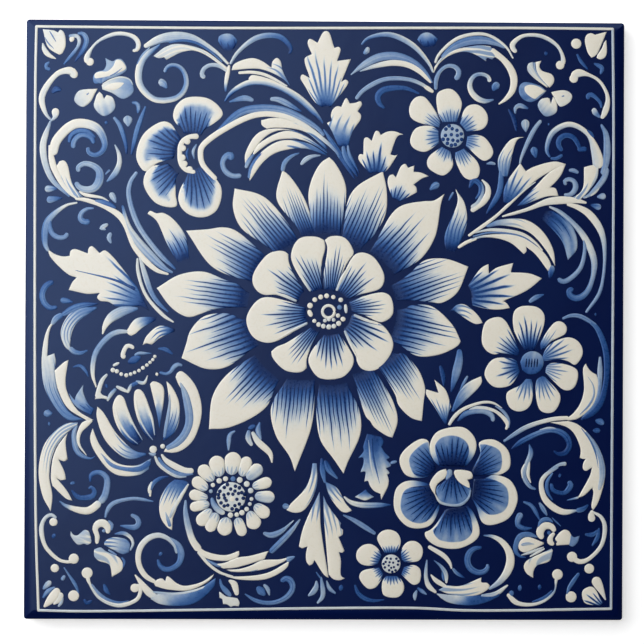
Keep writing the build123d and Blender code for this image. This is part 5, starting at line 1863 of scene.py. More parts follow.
@dataclass
class LowerLeft:
    """The scroll, plume, spiral, hooked flower and bud in the lower left corner."""

    def scroll(self) -> SlipMesh:
        """Builds the scroll and the plume that hangs from it.

        Returns:
            The gathered shapes.
        """
        mesh = SlipMesh("lower_left_scroll", Slot.CREAM)
        mesh.fill(
            (((-61, -25.5), (-65.4, -25.5), (-70.8, -18.3), (-71.9, -11.5), (-71, -4), (-69.5, -1),
              (-67, 0.8)), ((-69.6, -2.2), (-70.5, -9.4)), ((-68.7, -8.7),), ((-68.3, -10.5), (-68.6, -13)),
             ((-67.8, -18), (-65.3, -23), (-63.5, -24.6))),
            Brush(root=0.62, tip=0.05, reach=0.85, ink=0.6, lines=4, length=0.8),
            Spine(((-61.5, -25.6), (-66, -23.6), (-69, -19), (-70.2, -13), (-70.9, -6), (-68, 0.2))))
        mesh.fill(
            (((-58.7, -25.6), (-62.7, -23.1), (-65.4, -18.4), (-65.8, -15.6), (-65.1, -10.4)),
             ((-66, -10.8), (-68.6, -13.1)), ((-67.8, -17.6), (-65.2, -22.6), (-60.4, -25.7))), Brush(),
            lift=0.03)
        mesh.fills((
            ((((-59.2, -24.5), (-62.8, -22.4), (-64.2, -20.8), (-64.9, -18.8)), ((-63.4, -20.6),),
              ((-63.2, -19.6), (-61.3, -16.6)), ((-61.3, -18.5), (-59.6, -22), (-58.4, -22.6))),
             Brush(root=0.8, tip=0.38, reach=0.6, ink=0.8, lines=4, length=0.7), Fan((-57.2, -25))),
            ((((-62.6, -26.2), (-66, -26.7), (-70.8, -31.3), (-72.5, -38), (-71.5, -44.8), (-69.4, -48.8)),
              ((-69, -45), (-69.8, -39.5), (-68.4, -33), (-65.2, -28.8), (-62.8, -26.9))),
             Brush(ink=0.35, lines=4, length=0.8),
             Spine(((-62.6, -26.5), (-66.8, -28.6), (-70, -33), (-71, -38.4), (-70.6, -43), (-69.6, -48)))),
            ((((-65.2, -28.9), (-65.7, -31), (-65.2, -35.6)), ((-66, -36.1), (-67.5, -35.6)),
              ((-65.9, -39), (-65.6, -40.7)), ((-66.8, -40.9), (-67.9, -40.4)),
              ((-65.3, -43.6), (-63.9, -46.1)), ((-65.3, -45.7), (-69, -42.3)),
              ((-69.4, -40.4), (-68.9, -35.2), (-67.7, -32.2), (-66.2, -30.1))), Brush()),
        ))
        mesh.strokes((
            (((-66.6, 1.2), (-68.2, 0.2), (-69.4, -1.4)), (1.2, 1.6, 0.8), (0.62, 0.5, 0.3)),
            (((-59, -25.6), (-61.2, -27.1), (-62.4, -29.3), (-62.3, -31.8), (-60.4, -34.6)),
             (0.7, 1.7, 1.1, 0.8, 0.5, 0.2), (0, 0, 0.1)),
            (((-62.8, -26.9), (-63.6, -29), (-62.6, -33.8), (-59.3, -35.4), (-58.3, -34.8)),
             (0.4, 1.2, 1.3, 1.4, 1.2, 0.7, 0.2), (0.4, 0.42, 0.45, 0.5, 0.58, 0.75)),
            (((-71.1, -23.4), (-70.4, -23.9), (-69.1, -23.9)), (1.8, 1.9, 0.4), (0.48, 0.52, 0.66)),
            (((-70.2, -26.6), (-69.6, -26.6)), (1.9, 1.8), (0.6, 0.68)),
            (((-57.5, 4), (-61, 3.6), (-64, 2.6), (-66.8, 1)), (0.3, 1.4, 1.8, 1), (0.9, 0.62, 0.6)),
            (((-64.9, -7.2), (-63.6, -8.3), (-61.9, -8.6), (-60.3, -7.9)), (1.2, 1.3, 1, 0.4),
             (0.35, 0.58, 0.68)),
            (((-64, -12.2), (-62.2, -11.8), (-60.8, -13), (-60, -14.6)), (0.3, 0.8, 0.9, 0.3),
             (0.76, 0.62, 0.76)),
        ))
        mesh.fill(
            (((-58, 3.2), (-62.6, 2.7), (-65.2, 1), (-67.1, -3.3), (-66, -7), (-64.4, -8.3)),
             ((-64.7, -6.8), (-64, -2.8), (-62.7, -0.7), (-57.8, 2.8))),
            Brush(root=0.6, tip=0.15, reach=0.6, ink=0.55, lines=4, length=1.2),
            Spine(((-58, 3), (-62.6, 1.4), (-65.4, -1.8), (-65.8, -5), (-64.6, -8))))
        return mesh

    def spiral(self) -> SlipMesh:
        """Builds the spiral below the pod and the thin curls.

        Returns:
            The gathered shapes.
        """
        mesh = SlipMesh("lower_left_curls", Slot.COBALT)
        mesh.strokes((
            (((-67.2, -46.2), (-65.5, -47.4), (-60, -48.6), (-56.8, -46.4)),
             (0.3, 0.9, 1.3, 1.7, 1.9, 1.9, 1.8), (0.6, 0.45, 0, 0, 0, 0, 0.2)),
            (((-57, -46.6), (-55.7, -44.8), (-55.2, -40.5), (-56.4, -39.1), (-58, -38.9), (-59.3, -39.7),
              (-59.4, -41.3)), (1.7, 1.8, 1.7, 1.6, 1.4, 1.2, 1.1, 0.4),
             (0.25, 0.42, 0.42, 0.44, 0.52, 0.64, 0.76)),
            (((-64, -41.2), (-63.8, -42)), (1.8, 1.7), (0.68,)),
            (((-64.2, -43.4), (-62.3, -45.2), (-58.7, -44.8), (-58.4, -43.5), (-59.2, -42.6),
              (-59.8, -43.1)), (0.4, 1.1, 1.3, 1.4, 1.4, 1, 0.5), (0.8, 0.74, 0.7, 0.7)),
            (((-43.4, -46.2), (-48.5, -45.5), (-53.5, -46.7), (-54.9, -48.2), (-55.6, -50.4)),
             (0.3, 0.8, 0.9, 0.9, 1.1, 1.1, 0.5), (0.6, 0.48, 0.46, 0.46, 0.46, 0.52)),
            (((-49.1, -49.6), (-47.7, -50.3), (-47.1, -51.6), (-47.8, -52.7), (-51.8, -52.4)),
             (0.8, 1.2, 1.4, 1.4, 1, 0.3), (0.46, 0.48, 0.54, 0.66)),
            (((-66, -63), (-63, -67.6), (-62.2, -69.6)), (0.3, 0.6, 0.9, 0.4), (0.5, 0.56, 0.62)),
            (((-65.8, -65), (-66.5, -66.3)), (0.7, 1.2), (0.42, 0.48)),
            (((-69.3, -66.5), (-71.3, -68.6)), (1.2, 1.4, 0.5), (0.2, 0.32, 0.5)),
            (((-68.2, -68), (-70, -69.1), (-71.3, -70.8)), (0.5, 1.2, 0.5), (0.5, 0.5, 0.66)),
            (((-69, -54.8), (-68.2, -55.3)), (1.7, 1.7), (0.77,)),
            (((-55.8, -67.2), (-55.2, -68.9), (-54.2, -69.9)), (0.6, 1.2, 0.3), (0.76, 0.7, 0.82)),
            (((-60.8, -71), (-60.2, -72), (-58.8, -71.4)), (0.6, 1.1, 0.5), (0.84,)),
            (((-44.6, -44.6), (-43.4, -41.6), (-41.4, -40.2), (-39.6, -39.9)), (0.3, 1, 1, 0.4),
             (0.6, 0.5, 0.72, 0.85)),
        ))
        return mesh

    def corner(self) -> SlipMesh:
        """Builds the hooked flower, the beaded scrolls and the bud.

        Returns:
            The gathered shapes.
        """
        mesh = SlipMesh("lower_left_sprig", Slot.CREAM)
        mesh.fills((
            ((((-59, -56.3), (-59.8, -53.8), (-60.8, -53.5), (-62.7, -54.9), (-63.6, -54.7),
               (-64.3, -53.8)), ((-64.3, -55), (-62.4, -57.3), (-61, -57), (-60, -57.3), (-59.2, -56.8))),
             Brush(tip=0.25, ink=0.25, lines=3, length=1.2),
             Spine(((-59, -56.4), (-61.4, -55.6), (-64.2, -54.8)))),
            ((((-55.9, -56.7), (-54.8, -55.7), (-53, -55.3), (-50, -56), (-49.2, -57.4), (-49.6, -59.2)),
              ((-51, -59.6), (-55.7, -57.4))), Brush(tip=0.46, reach=1, ink=0.5, lines=4, length=0.8),
             Spine(((-56, -57), (-52.4, -57.2), (-49.4, -58)))),
            ((((-58.3, -58.4), (-56.7, -57.9), (-55.5, -58.8), (-52, -60.5), (-51.1, -62), (-51.3, -63.7),
               (-53.8, -65.4)), ((-54.5, -62.3), (-57.2, -61.3), (-58.3, -60.2), (-58.4, -58.9))),
             Brush(ink=0.3, lines=2, length=1.2), Spine(((-57.8, -59.4), (-54.4, -60.8), (-52.8, -64.6)))),
        ))
        mesh.strokes((
            (((-57.7, -57), (-57.6, -55), (-58.1, -53.3), (-57.4, -52), (-56, -51.8), (-55, -52.8),
              (-54.9, -54.4)), (0.8, 1.2, 1.3, 1.8, 2, 1.7, 0.9), (0.02,)),
            (((-54.8, -51.1), (-53.9, -52.2), (-54, -53.6)), (0.5, 0.9, 0.4), (0.5,)),
            (((-56, -53.3), (-55.8, -54.1)), (1, 1.1), (0.46,)),
            (((-53.2, -54.5), (-51, -54.3), (-49.3, -55.2), (-48.5, -56.8), (-49.2, -58.7)),
             (0.3, 1, 0.9, 0.7, 0.4), (0.62, 0.5, 0.12, 0.2, 0.35)),
            (((-54.8, -58.5), (-52.6, -59.9)), (0.4, 0.6, 0.3), (0.4, 0.55)),
            (((-51.4, -60.4), (-50.7, -61.5), (-51, -63)), (0.4, 0.7, 0.3), (0.62,)),
            (((-68, -50.6), (-69.2, -49.7), (-70.6, -50.3), (-71.7, -52.6), (-70.8, -57.5), (-67.4, -61),
              (-65.5, -61.6), (-63.6, -61.5)), (0.9, 0.9, 1, 1.2, 1.1, 1, 1, 0.9, 0.8, 0.8),
             (0.25, 0.05, 0)),
            (((-60, -65.4), (-59.6, -66.8), (-57, -70.7), (-52, -72.6), (-47.2, -70.8), (-46.7, -67.9),
              (-47.8, -67.6)), (1.2, 0.6, 0.7, 0.8, 0.9, 1, 1.1, 1, 1, 1, 1),
             (0, 0.15, 0.12, 0.08, 0.05, 0)),
            (((-59, -67.2), (-57.2, -69.5), (-55, -71.1), (-52, -71.9), (-49.5, -71.4)),
             (0.4, 0.8, 0.8, 0.6, 0.2), (0.4, 0.52, 0.6)),
            (((-71, -73.1), (-68.3, -70), (-67.4, -68.3)), (0.5, 1.9, 2.4, 1.5), (0,)),
            (((-68.6, -72.4), (-67.3, -71.2), (-66.6, -69.4)), (0.4, 1.6, 1.4), (0.05,)),
            (((-67.4, -73), (-66.6, -71.9), (-66.2, -70.6)), (0.5, 0.8, 0.3), (0.25,)),
            (((-44.2, -45), (-44.3, -43), (-43.7, -41.2)), (0.4, 1.1, 0.6), (0, 0.05, 0.2)),
        ))
        mesh.fill(
            (((-38, -40.6), (-39.6, -41.9), (-41.7, -45.8), (-41.6, -50), (-39.9, -52.7), (-38.6, -53.5)),
             ((-38.5, -50.6),), ((-37.7, -48.6), (-34.2, -41.9)), ((-34.6, -41.3), (-35.6, -40.8))),
            Brush(root=0.8, reach=0.5, ink=0.62, lines=6, length=0.75),
            Spine(((-36.4, -40.8), (-38.6, -45.6), (-39.9, -49.5), (-39.2, -53.2))))
        mesh.strokes((
            (((-34.5, -41.7), (-38, -47.6), (-39.2, -50.4)), (0.5, 1, 1.1, 0.7), (0.14, 0.08, 0.1, 0.3)),
            (((-40.3, -48.8), (-39.1, -52.6)), (0.4, 1, 0.9), (0.2, 0.4, 0.6)),
        ), lift=0.05)
        for middle, radius in (
            ((-68.7, -51.5), 1.05), ((-63.5, -60.8), 1.3), ((-68.3, -63.2), 1.05), ((-63.5, -70.2), 1.4),
            ((-60.1, -64.4), 1.4), ((-48, -68.2), 1.1),
        ):
            mesh.bead(middle, radius)
        return mesh

    def build(self, finish: bpy.types.Material) -> None:
        """Builds the corner."""
        for mesh in (self.scroll(), self.spiral(), self.corner()):
            mesh.build(finish)


@dataclass
class Daisy:
    """The many petalled flower at the lower left, with a speckled disc in a ring of dots."""

    middle: Point = (-23.7, -45.0)
    disc: float = 3.75
    speck: float = 0.56

    def build(self, finish: bpy.types.Material) -> None:
        """Builds the petals, ring and disc.

        Args:
            finish: Material of the slip.
        """
        mesh = SlipMesh("daisy", Slot.CREAM)
        for inner, outer, near, far, shade in (
            ((-26.6, -39.4), (-27.8, -34.6), 1.9, 3.9, 0),
            ((-23.6, -38.9), (-23, -33.6), 2.2, 4.1, 0),
            ((-20.9, -39.3), (-19.4, -34.8), 1.5, 2.9, 0),
            ((-19.3, -40.1), (-16, -37), 1.7, 3.2, -0.3),
            ((-17.8, -42.3), (-13.4, -40.9), 1.3, 2.8, 0),
            ((-17.2, -44.8), (-12.6, -45.1), 1.5, 3, -0.3),
            ((-17.4, -47.3), (-14.1, -49.9), 1.5, 3.2, 0),
            ((-18.9, -49), (-17.2, -53.1), 1.2, 3.7, 0),
            ((-22, -50.7), (-20.5, -54.9), 1.7, 2.6, 0),
            ((-24.8, -50.6), (-25.6, -54.8), 2.3, 3.7, 0),
            ((-27.5, -49.5), (-29.4, -53.8), 1.7, 2.9, 0),
            ((-29, -48.5), (-32, -52.1), 1.2, 3.2, 0),
            ((-29.6, -46.8), (-34.1, -47.8), 1.3, 2.5, 0),
            ((-30, -45.2), (-34.3, -44.2), 0.9, 2.7, 0),
            ((-30, -42.9), (-33.4, -40.4), 1.6, 3, 0),
            ((-28.5, -40.6), (-31.7, -37.2), 1.6, 3.2, 0),
        ):
            way = np.subtract(outer, inner)
            foot = tuple(np.subtract(inner, 0.1 * way))
            mesh.stroke(
                (foot, tuple(np.add(inner, 0.5 * way)), outer),
                (near + 0.3, 0.5 * (near + far) + 0.45, far + 0.1, 0.9 * far), (0.16, 0, 0), shade,
                Brush(ink=0.3, lines=3, length=0.5))
        for middle, radius, tone in (
            ((-26.7, -40.9), 0.7, 0.05), ((-25.1, -40.4), 0.65, 0.05), ((-23.2, -40.4), 0.65, 0.58),
            ((-21.5, -40.7), 0.75, 0.08), ((-19.7, -41.7), 0.75, 0.1), ((-18.7, -43.4), 0.7, 0.15),
            ((-18.5, -45.5), 0.5, 0.1), ((-18.9, -46.8), 0.5, 0.15), ((-19.7, -48.1), 0.6, 0.08),
            ((-20.9, -49), 0.7, 0.05), ((-22.2, -49.5), 0.6, 0.05), ((-23.8, -49.6), 0.7, 0.05),
            ((-28.3, -42), 0.55, 0.05), ((-28.8, -43.6), 0.5, 0.32),
        ):
            mesh.bead(middle, radius, tone)
        mesh.stroke(
            ((-28.6, -45.2), (-28.1, -46.8), (-26.9, -48.3), (-25.3, -49.3)), (0.7, 1.4, 1.5, 1.2),
            (0.55, 0.45, 0.3, 0.12))
        mesh.bead(self.middle, self.disc, 0.14)
        for place in (
            (-26.5, -43.6), (-25.4, -42.6), (-25.5, -44.5), (-26.8, -45.2), (-26.2, -46.5), (-24.9, -45.9),
            (-24.5, -47.1), (-23.8, -43), (-22.7, -43.5), (-22.6, -42.3), (-21.8, -44.1), (-21.6, -42.7),
            (-21, -43.9), (-20.6, -45.3), (-22.2, -45.6), (-21.6, -46.8), (-22.7, -47.2), (-23.4, -48),
            (-24.4, -44.2), (-24.6, -41.9), (-23.2, -44.3), (-26.9, -44.4), (-25.4, -47.3), (-21, -47.6),
            (-20.3, -44.3), (-25.3, -45.3), (-22.3, -48.2),
        ):
            mesh.bead(place, self.speck, 0.97, lift=0.05)
        mesh.bead((-23.4, -45.5), 0.7, 0, lift=0.08)
        mesh.build(finish)


@dataclass
class LowerMiddle:
    """The leaves, strokes and curls between the flowers along the bottom."""

    def boats(self) -> SlipMesh:
        """Builds the two boat shaped leaves at the left and the ring above them.

        Returns:
            The gathered shapes.
        """
        mesh = SlipMesh("boat_leaves", Slot.CREAM)
        for runs, brush in (
            ((((-32.2, -57), (-30.5, -58.6), (-25.2, -59.8), (-21.6, -58.7)),
              ((-21.5, -59.5), (-22, -60.4)), ((-24, -61.2), (-29, -60.9), (-31.8, -59.6))), Brush()),
            ((((-28.4, -62), (-25.5, -61.8), (-22, -60.4), (-19, -60), (-14.1, -58.7)), ((-15.1, -60.8),),
              ((-22.5, -63), (-25.5, -63.2))), Brush()),
            ((((-24.8, -63.5), (-21.5, -63.3), (-18.5, -62.4), (-15.8, -61.1), (-11, -60.8), (-8.8, -60.2)),
              ((-10, -61.3), (-15, -63.3), (-21, -64.1), (-23.6, -64))), Brush()),
            ((((-25.4, -64.9), (-22, -65.2), (-14.5, -64.3), (-8.8, -61.2)),
              ((-9.4, -62.9), (-14.5, -65.8), (-21.5, -66), (-24.6, -65.3))), Brush()),
            ((((-43.2, -66.9), (-42.3, -66), (-41, -65.8), (-40.3, -66.5)),
              ((-39.8, -65.2), (-37.3, -67), (-35.5, -67.6), (-31, -66.6), (-27.9, -64.6)),
              ((-28.8, -66), (-34, -68.7), (-40, -68.5), (-42.8, -67.7))), Brush()),
            ((((-43.8, -69.9), (-32.5, -68.6), (-27.5, -65.6)),
              ((-27.8, -67.6), (-32, -71.6), (-35, -72.6), (-41.5, -72.3), (-44, -71))),
             Brush(root=0.26, tip=0.72, reach=1)),
        ):
            mesh.fill(runs, brush, Spine(((-37.5, -68.4), (-34.8, -72.6))))
        mesh.strokes((
            (((-35.2, -45.8), (-35.2, -49), (-33.5, -55.8), (-31.6, -58.7)), (0.5, 1.3, 1.6, 1.7, 1.9),
             (0.42, 0.42, 0.3, 0.05, 0)),
            (((-32, -58.8), (-29.4, -62), (-26.4, -64.2), (-23, -65.3)), (0.9, 0.8, 0.7, 0.5), (0.05,)),
            (((-29.8, -61), (-27, -62.4), (-24.4, -62.7)), (0.4, 0.8, 0.3), (0.5,)),
            (((-18.6, -63.9), (-11.6, -61.8)), (0.3, 0.7, 0.3), (0.42,)),
            (((-9.6, -61.1), (-7.4, -60.1)), (1.6, 1.2, 0.4), (0.42, 0.56)),
            (((-15.5, -54.1), (-13.6, -54.7), (-11, -53.8), (-7.7, -50.9)), (0.7, 1.5, 1.3, 0.7, 0.2),
             (0.42, 0.44, 0.42, 0.2)),
            (((-13.7, -59.1), (-8.5, -53.8), (-6.1, -50.6)), (1.4, 1.5, 1.2, 0.4), (0.6, 0.5, 0.42, 0.36)),
            (((-48, -64.8), (-44.3, -69.4), (-41.6, -71.1)), (0.3, 1.4, 1.9, 0.6), (0, 0, 0.2)),
            (((-43.5, -69.2), (-37.5, -69.8), (-31, -68.3), (-27.8, -66.4)), (0.4, 0.9, 1, 0.9, 0.8, 0.4),
             (0.3, 0.15, 0.12)),
            (((-37.4, -59.4), (-38, -57.4), (-39.7, -55.6), (-42, -54.8), (-44.5, -55.5), (-46.5, -57.6),
              (-47.2, -60.3), (-46.7, -63), (-45.2, -65.2), (-42.8, -66.7)),
             (0.6, 0.9, 1.2, 1.4, 1.5, 1.5, 1.4, 1.4, 1.3, 0.9), (0.3, 0.15, 0.02, 0)),
            (((-39.2, -55.4), (-37.1, -57.3), (-36.3, -59.6), (-36.8, -61.8), (-38.6, -63.2),
              (-40.4, -63.4), (-41.7, -62.4), (-42.2, -60.9)), (0.4, 1.3, 1.8, 1.6, 1.4, 1.3, 1.2, 0.6),
             (0.4, 0.48, 0.52, 0.6, 0.66, 0.66, 0.7)),
            (((-41.8, -59.3), (-41.2, -59.8)), (1.6, 1.6), (0.7,)),
            (((-24.2, -66.2), (-22.9, -67), (-22, -70)), (0.5, 1.6, 1.5, 0.9), (0.03,)),
            (((-26.4, -65.8), (-26, -67.5), (-23.6, -70.2)), (0.4, 0.9, 1.4, 0.8), (0.66, 0.58, 0.5)),
            (((-20.1, -69.6), (-17.5, -71.2), (-14.5, -71.9), (-11.5, -71.5), (-9, -70), (-7.9, -68),
              (-8.4, -66.3), (-9.7, -65.7), (-10.9, -66.5)), (0.3, 0.9, 1.1, 1.1, 1.2, 1.4, 1.4, 1.6, 1),
             (0.62, 0.6, 0.6, 0.56, 0.54, 0.6, 0.7)),
            (((-17, -67.8), (-14.9, -70)), (0.9, 2.1, 0.6), (0.68, 0.62, 0.66)),
            (((-15.3, -67.2), (-14.3, -68.3), (-13.8, -70)), (0.6, 1.1, 0.3), (0.38,)),
            (((-22.7, -28.2), (-24, -29.2), (-24.4, -33.2)), (0.4, 1.1, 1.1, 0.4), (0.5, 0.44, 0.44)),
            (((-19.2, -28), (-19.4, -30), (-18.4, -32)), (0.8, 1.4, 0.8), (0.5, 0.22, 0.15)),
            (((-18.4, -28.4), (-17, -30.8), (-13.8, -34), (-13.3, -36.3)), (0.8, 1.5, 1.7, 1.3, 0.3),
             (0.15, 0, 0)),
            (((-16.4, -26), (-16.9, -28), (-16.1, -30.4)), (0.4, 1.4, 0.4), (0.6, 0.42, 0.4)),
            (((-19.4, -27.7), (-17.6, -26.8)), (0.5, 1.2, 0.5), (0.74,)),
        ))
        mesh.fill(
            (((-25.8, -69.6), (-26.5, -69.1), (-26.5, -70.6)), ((-25.8, -71), (-25.6, -72.2)),
             ((-24.6, -72.3), (-23.6, -73)), ((-23, -72.7), (-21.6, -72.8)), ((-21.4, -71.8), (-22, -70.7)),
             ((-24.8, -70.3),)), Brush(tip=0, root=0.1))
        return mesh

    def leaves(self) -> SlipMesh:
        """Builds the tall leaf, its side leaves and the feathered leaf.

        Returns:
            The gathered shapes.
        """
        mesh = SlipMesh("lower_leaves", Slot.CREAM)
        mesh.fills((
            ((((-1.2, -43.6), (-5.3, -52.8), (-6.4, -57.5)), ((-5.6, -58), (-4.2, -57.5)),
              ((-4.6, -59.5), (-4.4, -61.5), (-3.7, -62.4)), ((-2.9, -62), (-2.4, -61)),
              ((0.2, -64.9), (1.2, -65.5)), ((-0.9, -52), (-1, -47))),
             Brush(root=0.45, reach=0.3, ink=0.45, lines=5, length=0.6),
             Spine(((-1.1, -43.8), (-2.5, -53), (-1.4, -64)))),
            ((((-0.2, -44.6), (0.8, -46.8), (4.3, -51.6)), ((4.1, -52.5), (4.8, -53.3)),
              ((4.7, -54.5), (3.7, -55.1)), ((5.2, -58.6),), ((4.6, -59.1), (3.8, -58.9)),
              ((4.3, -61), (4.4, -65), (5.4, -65.6)), ((4, -66.1), (2.4, -65.8), (1.2, -64.6)),
              ((-0.1, -50),)), Brush(root=0.4, reach=0.25, ink=0.4, lines=4, length=0.6),
             Spine(((-0.1, -44.8), (2, -54), (2.8, -65.6)))),
            ((((-3, -36.4), (-3.6, -40), (-5, -43), (-8.6, -46.8)), ((-9.6, -48.3),),
              ((-8, -48.9), (-6, -48.8), (-4.2, -47.3), (-1.9, -42), (-1.9, -36.4))),
             Brush(root=0.5, reach=0.3, ink=0.45, lines=3, length=0.9),
             Spine(((-2.4, -36.4), (-3.2, -42), (-5.6, -46.4), (-9, -48.2)))),
            ((((0.2, -41), (3.2, -42.6), (5.5, -46.6), (7.1, -48.4)),
              ((5.8, -48.9), (4.4, -48.6), (1.4, -44.8), (0.6, -42.6))),
             Brush(root=0.6, reach=0.5, ink=0.5, lines=3, length=0.9),
             Spine(((0, -40.6), (3, -45), (6.8, -48.6)))),
            ((((10.8, -28.8), (9.8, -32.2)), ((10, -33.2), (8.6, -35)),
              ((9.8, -34.9), (10, -36.2), (9.2, -38.6)), ((10.4, -38.5), (10.2, -41)),
              ((11.1, -40.8), (11.6, -42), (12.6, -43.3), (14.3, -44.1)), ((14.5, -45.6),),
              ((16.2, -42.2), (16.4, -40.5), (16, -39.2)), ((16.6, -38.8), (15.7, -37.6)),
              ((17, -36.9), (15.8, -35.4)), ((16.6, -34.9), (15.4, -33.6), (14.5, -32.2)),
              ((15.1, -30.8), (14.4, -29.6))),
             Brush(root=0.86, tip=0, reach=0.9, ink=0.5, lines=6, length=0.75),
             Spine(((12.4, -28.6), (12.4, -34), (13.6, -40), (14.5, -45.4)))),
            ((((7.8, -44.9), (10, -43.4), (10.6, -42.9)), ((11.2, -43.8), (12.7, -44.9)),
              ((10.4, -45.8), (9, -45.4))), Brush(root=0.85, tip=0.08, reach=1),
             Spine(((10.5, -43), (10.4, -45.8)))),
        ))
        mesh.strokes((
            (((12.1, -30), (12.3, -34), (14.1, -41.6)), (0.5, 0.7, 0.6, 0.2), (0.9, 0.78, 0.7, 0.5)),
            (((11.2, -30.4), (12, -37.5), (12.9, -40.6)), (0.2, 0.5, 0.6, 0.2), (0.4, 0.25, 0.1)),
        ), lift=0.06)
        mesh.strokes((
            (((16.8, -36.3), (18.5, -35.8)), (0.5, 0.9, 0.4), (0.5,)),
            (((-10.6, -47.2), (-8.9, -47.5)), (1.1, 1.5, 1), (0.56, 0.5, 0.4)),
            (((5, -44.8), (6.5, -46.1), (9, -46.9), (16.9, -46.9)), (0.4, 1.1, 1.4, 1.4, 1.2, 0.4),
             (0.15, 0.1, 0.2, 0.38, 0.55, 0.85)),
            (((4.8, -49.5), (7.5, -50.8), (13.1, -54.3)), (0.4, 1.1, 1.3, 0.8), (0.5, 0.46, 0.46, 0.5)),
            (((0.2, -35.6), (1.2, -38), (3.4, -40.3)), (0.8, 1.6, 1.2, 0.4), (0.85, 0.64, 0.6)),
            (((-0.6, -35), (-0.4, -38.5), (0.2, -41.4)), (0.8, 1.4, 0.6), (0.9, 0.62, 0.55)),
            (((-1.9, -66.2), (-1.9, -67.7), (-2.7, -69.1), (-4, -70.1)), (0.4, 1.3, 1.4, 0.4), (0.34,)),
            (((-0.7, -65.2), (-0.3, -70.2), (-1.7, -72)), (0.4, 1.1, 1.2, 0.5), (0.5, 0.34, 0.34)),
            (((0.7, -66.2), (1.4, -68.1), (3, -69.5)), (0.3, 1, 0.5), (0.36, 0.38, 0.5)),
            (((-2, -64), (-0.9, -65.6)), (0.3, 0.5), (0.6,)),
            (((34.3, -7.2), (34.2, -10), (32.2, -18.2)), (1.2, 2, 2.2, 1.5, 0.4),
             (0.7, 0.5, 0.44, 0.6, 0.9)),
            (((36.4, -14), (34.5, -17.6)), (0.5, 0.8, 0.3), (0.42, 0.66)),
            (((31.6, -26.6), (33, -24.5), (35.3, -22.5), (40.6, -20.7), (43.2, -21), (45.2, -22.2)),
             (0.7, 1, 0.9, 0.8, 0.7, 0.6, 0.2), (0.1, 0.04, 0.05, 0.1)),
            (((36.8, -22.6), (39, -22.1), (43.5, -23), (46.6, -26.2), (46.2, -27.7)),
             (0.3, 0.9, 0.9, 0.8, 0.9, 1.1, 0.5), (0.2, 0.05, 0.03)),
            (((43.4, -21.6), (45.6, -23.1), (47, -25.4), (46.9, -27.2)), (0.3, 0.8, 0.7, 0.3), (0.42,)),
            (((33.9, -25.6), (36, -23.6), (41, -23.1), (42.7, -24.3), (42.9, -25.6)),
             (0.5, 1.3, 1.3, 1.3, 1.4, 1), (0.88, 0.62, 0.5, 0.42, 0.42, 0.4)),
        ))
        mesh.fills((
            ((((32.3, -23), (33.5, -19.5), (35, -17), (37, -15.4), (39.8, -14.1)),
              ((40, -15.7), (32.8, -23.2))), Brush(root=0.7, reach=0.95, ink=0.5, lines=3, length=0.8),
             Spine(((32.4, -23.2), (35.6, -18.8), (39.9, -14.6)))),
            ((((31.2, -25.2), (30.9, -26.4), (28, -22), (25.8, -18.6), (25.9, -17.5)), ((29, -18.4),),
              ((27.9, -15),), ((30.8, -17.6), (32.2, -21.9)), ((31.6, -23.4),)),
             Brush(root=0.85, reach=0.5, ink=0.6, lines=5, length=0.75), Fan((31.4, -27.4))),
        ))
        return mesh

    def build(self, finish: bpy.types.Material) -> None:
        """Builds the leaves."""
        self.boats().build(finish)
        self.leaves().build(finish)


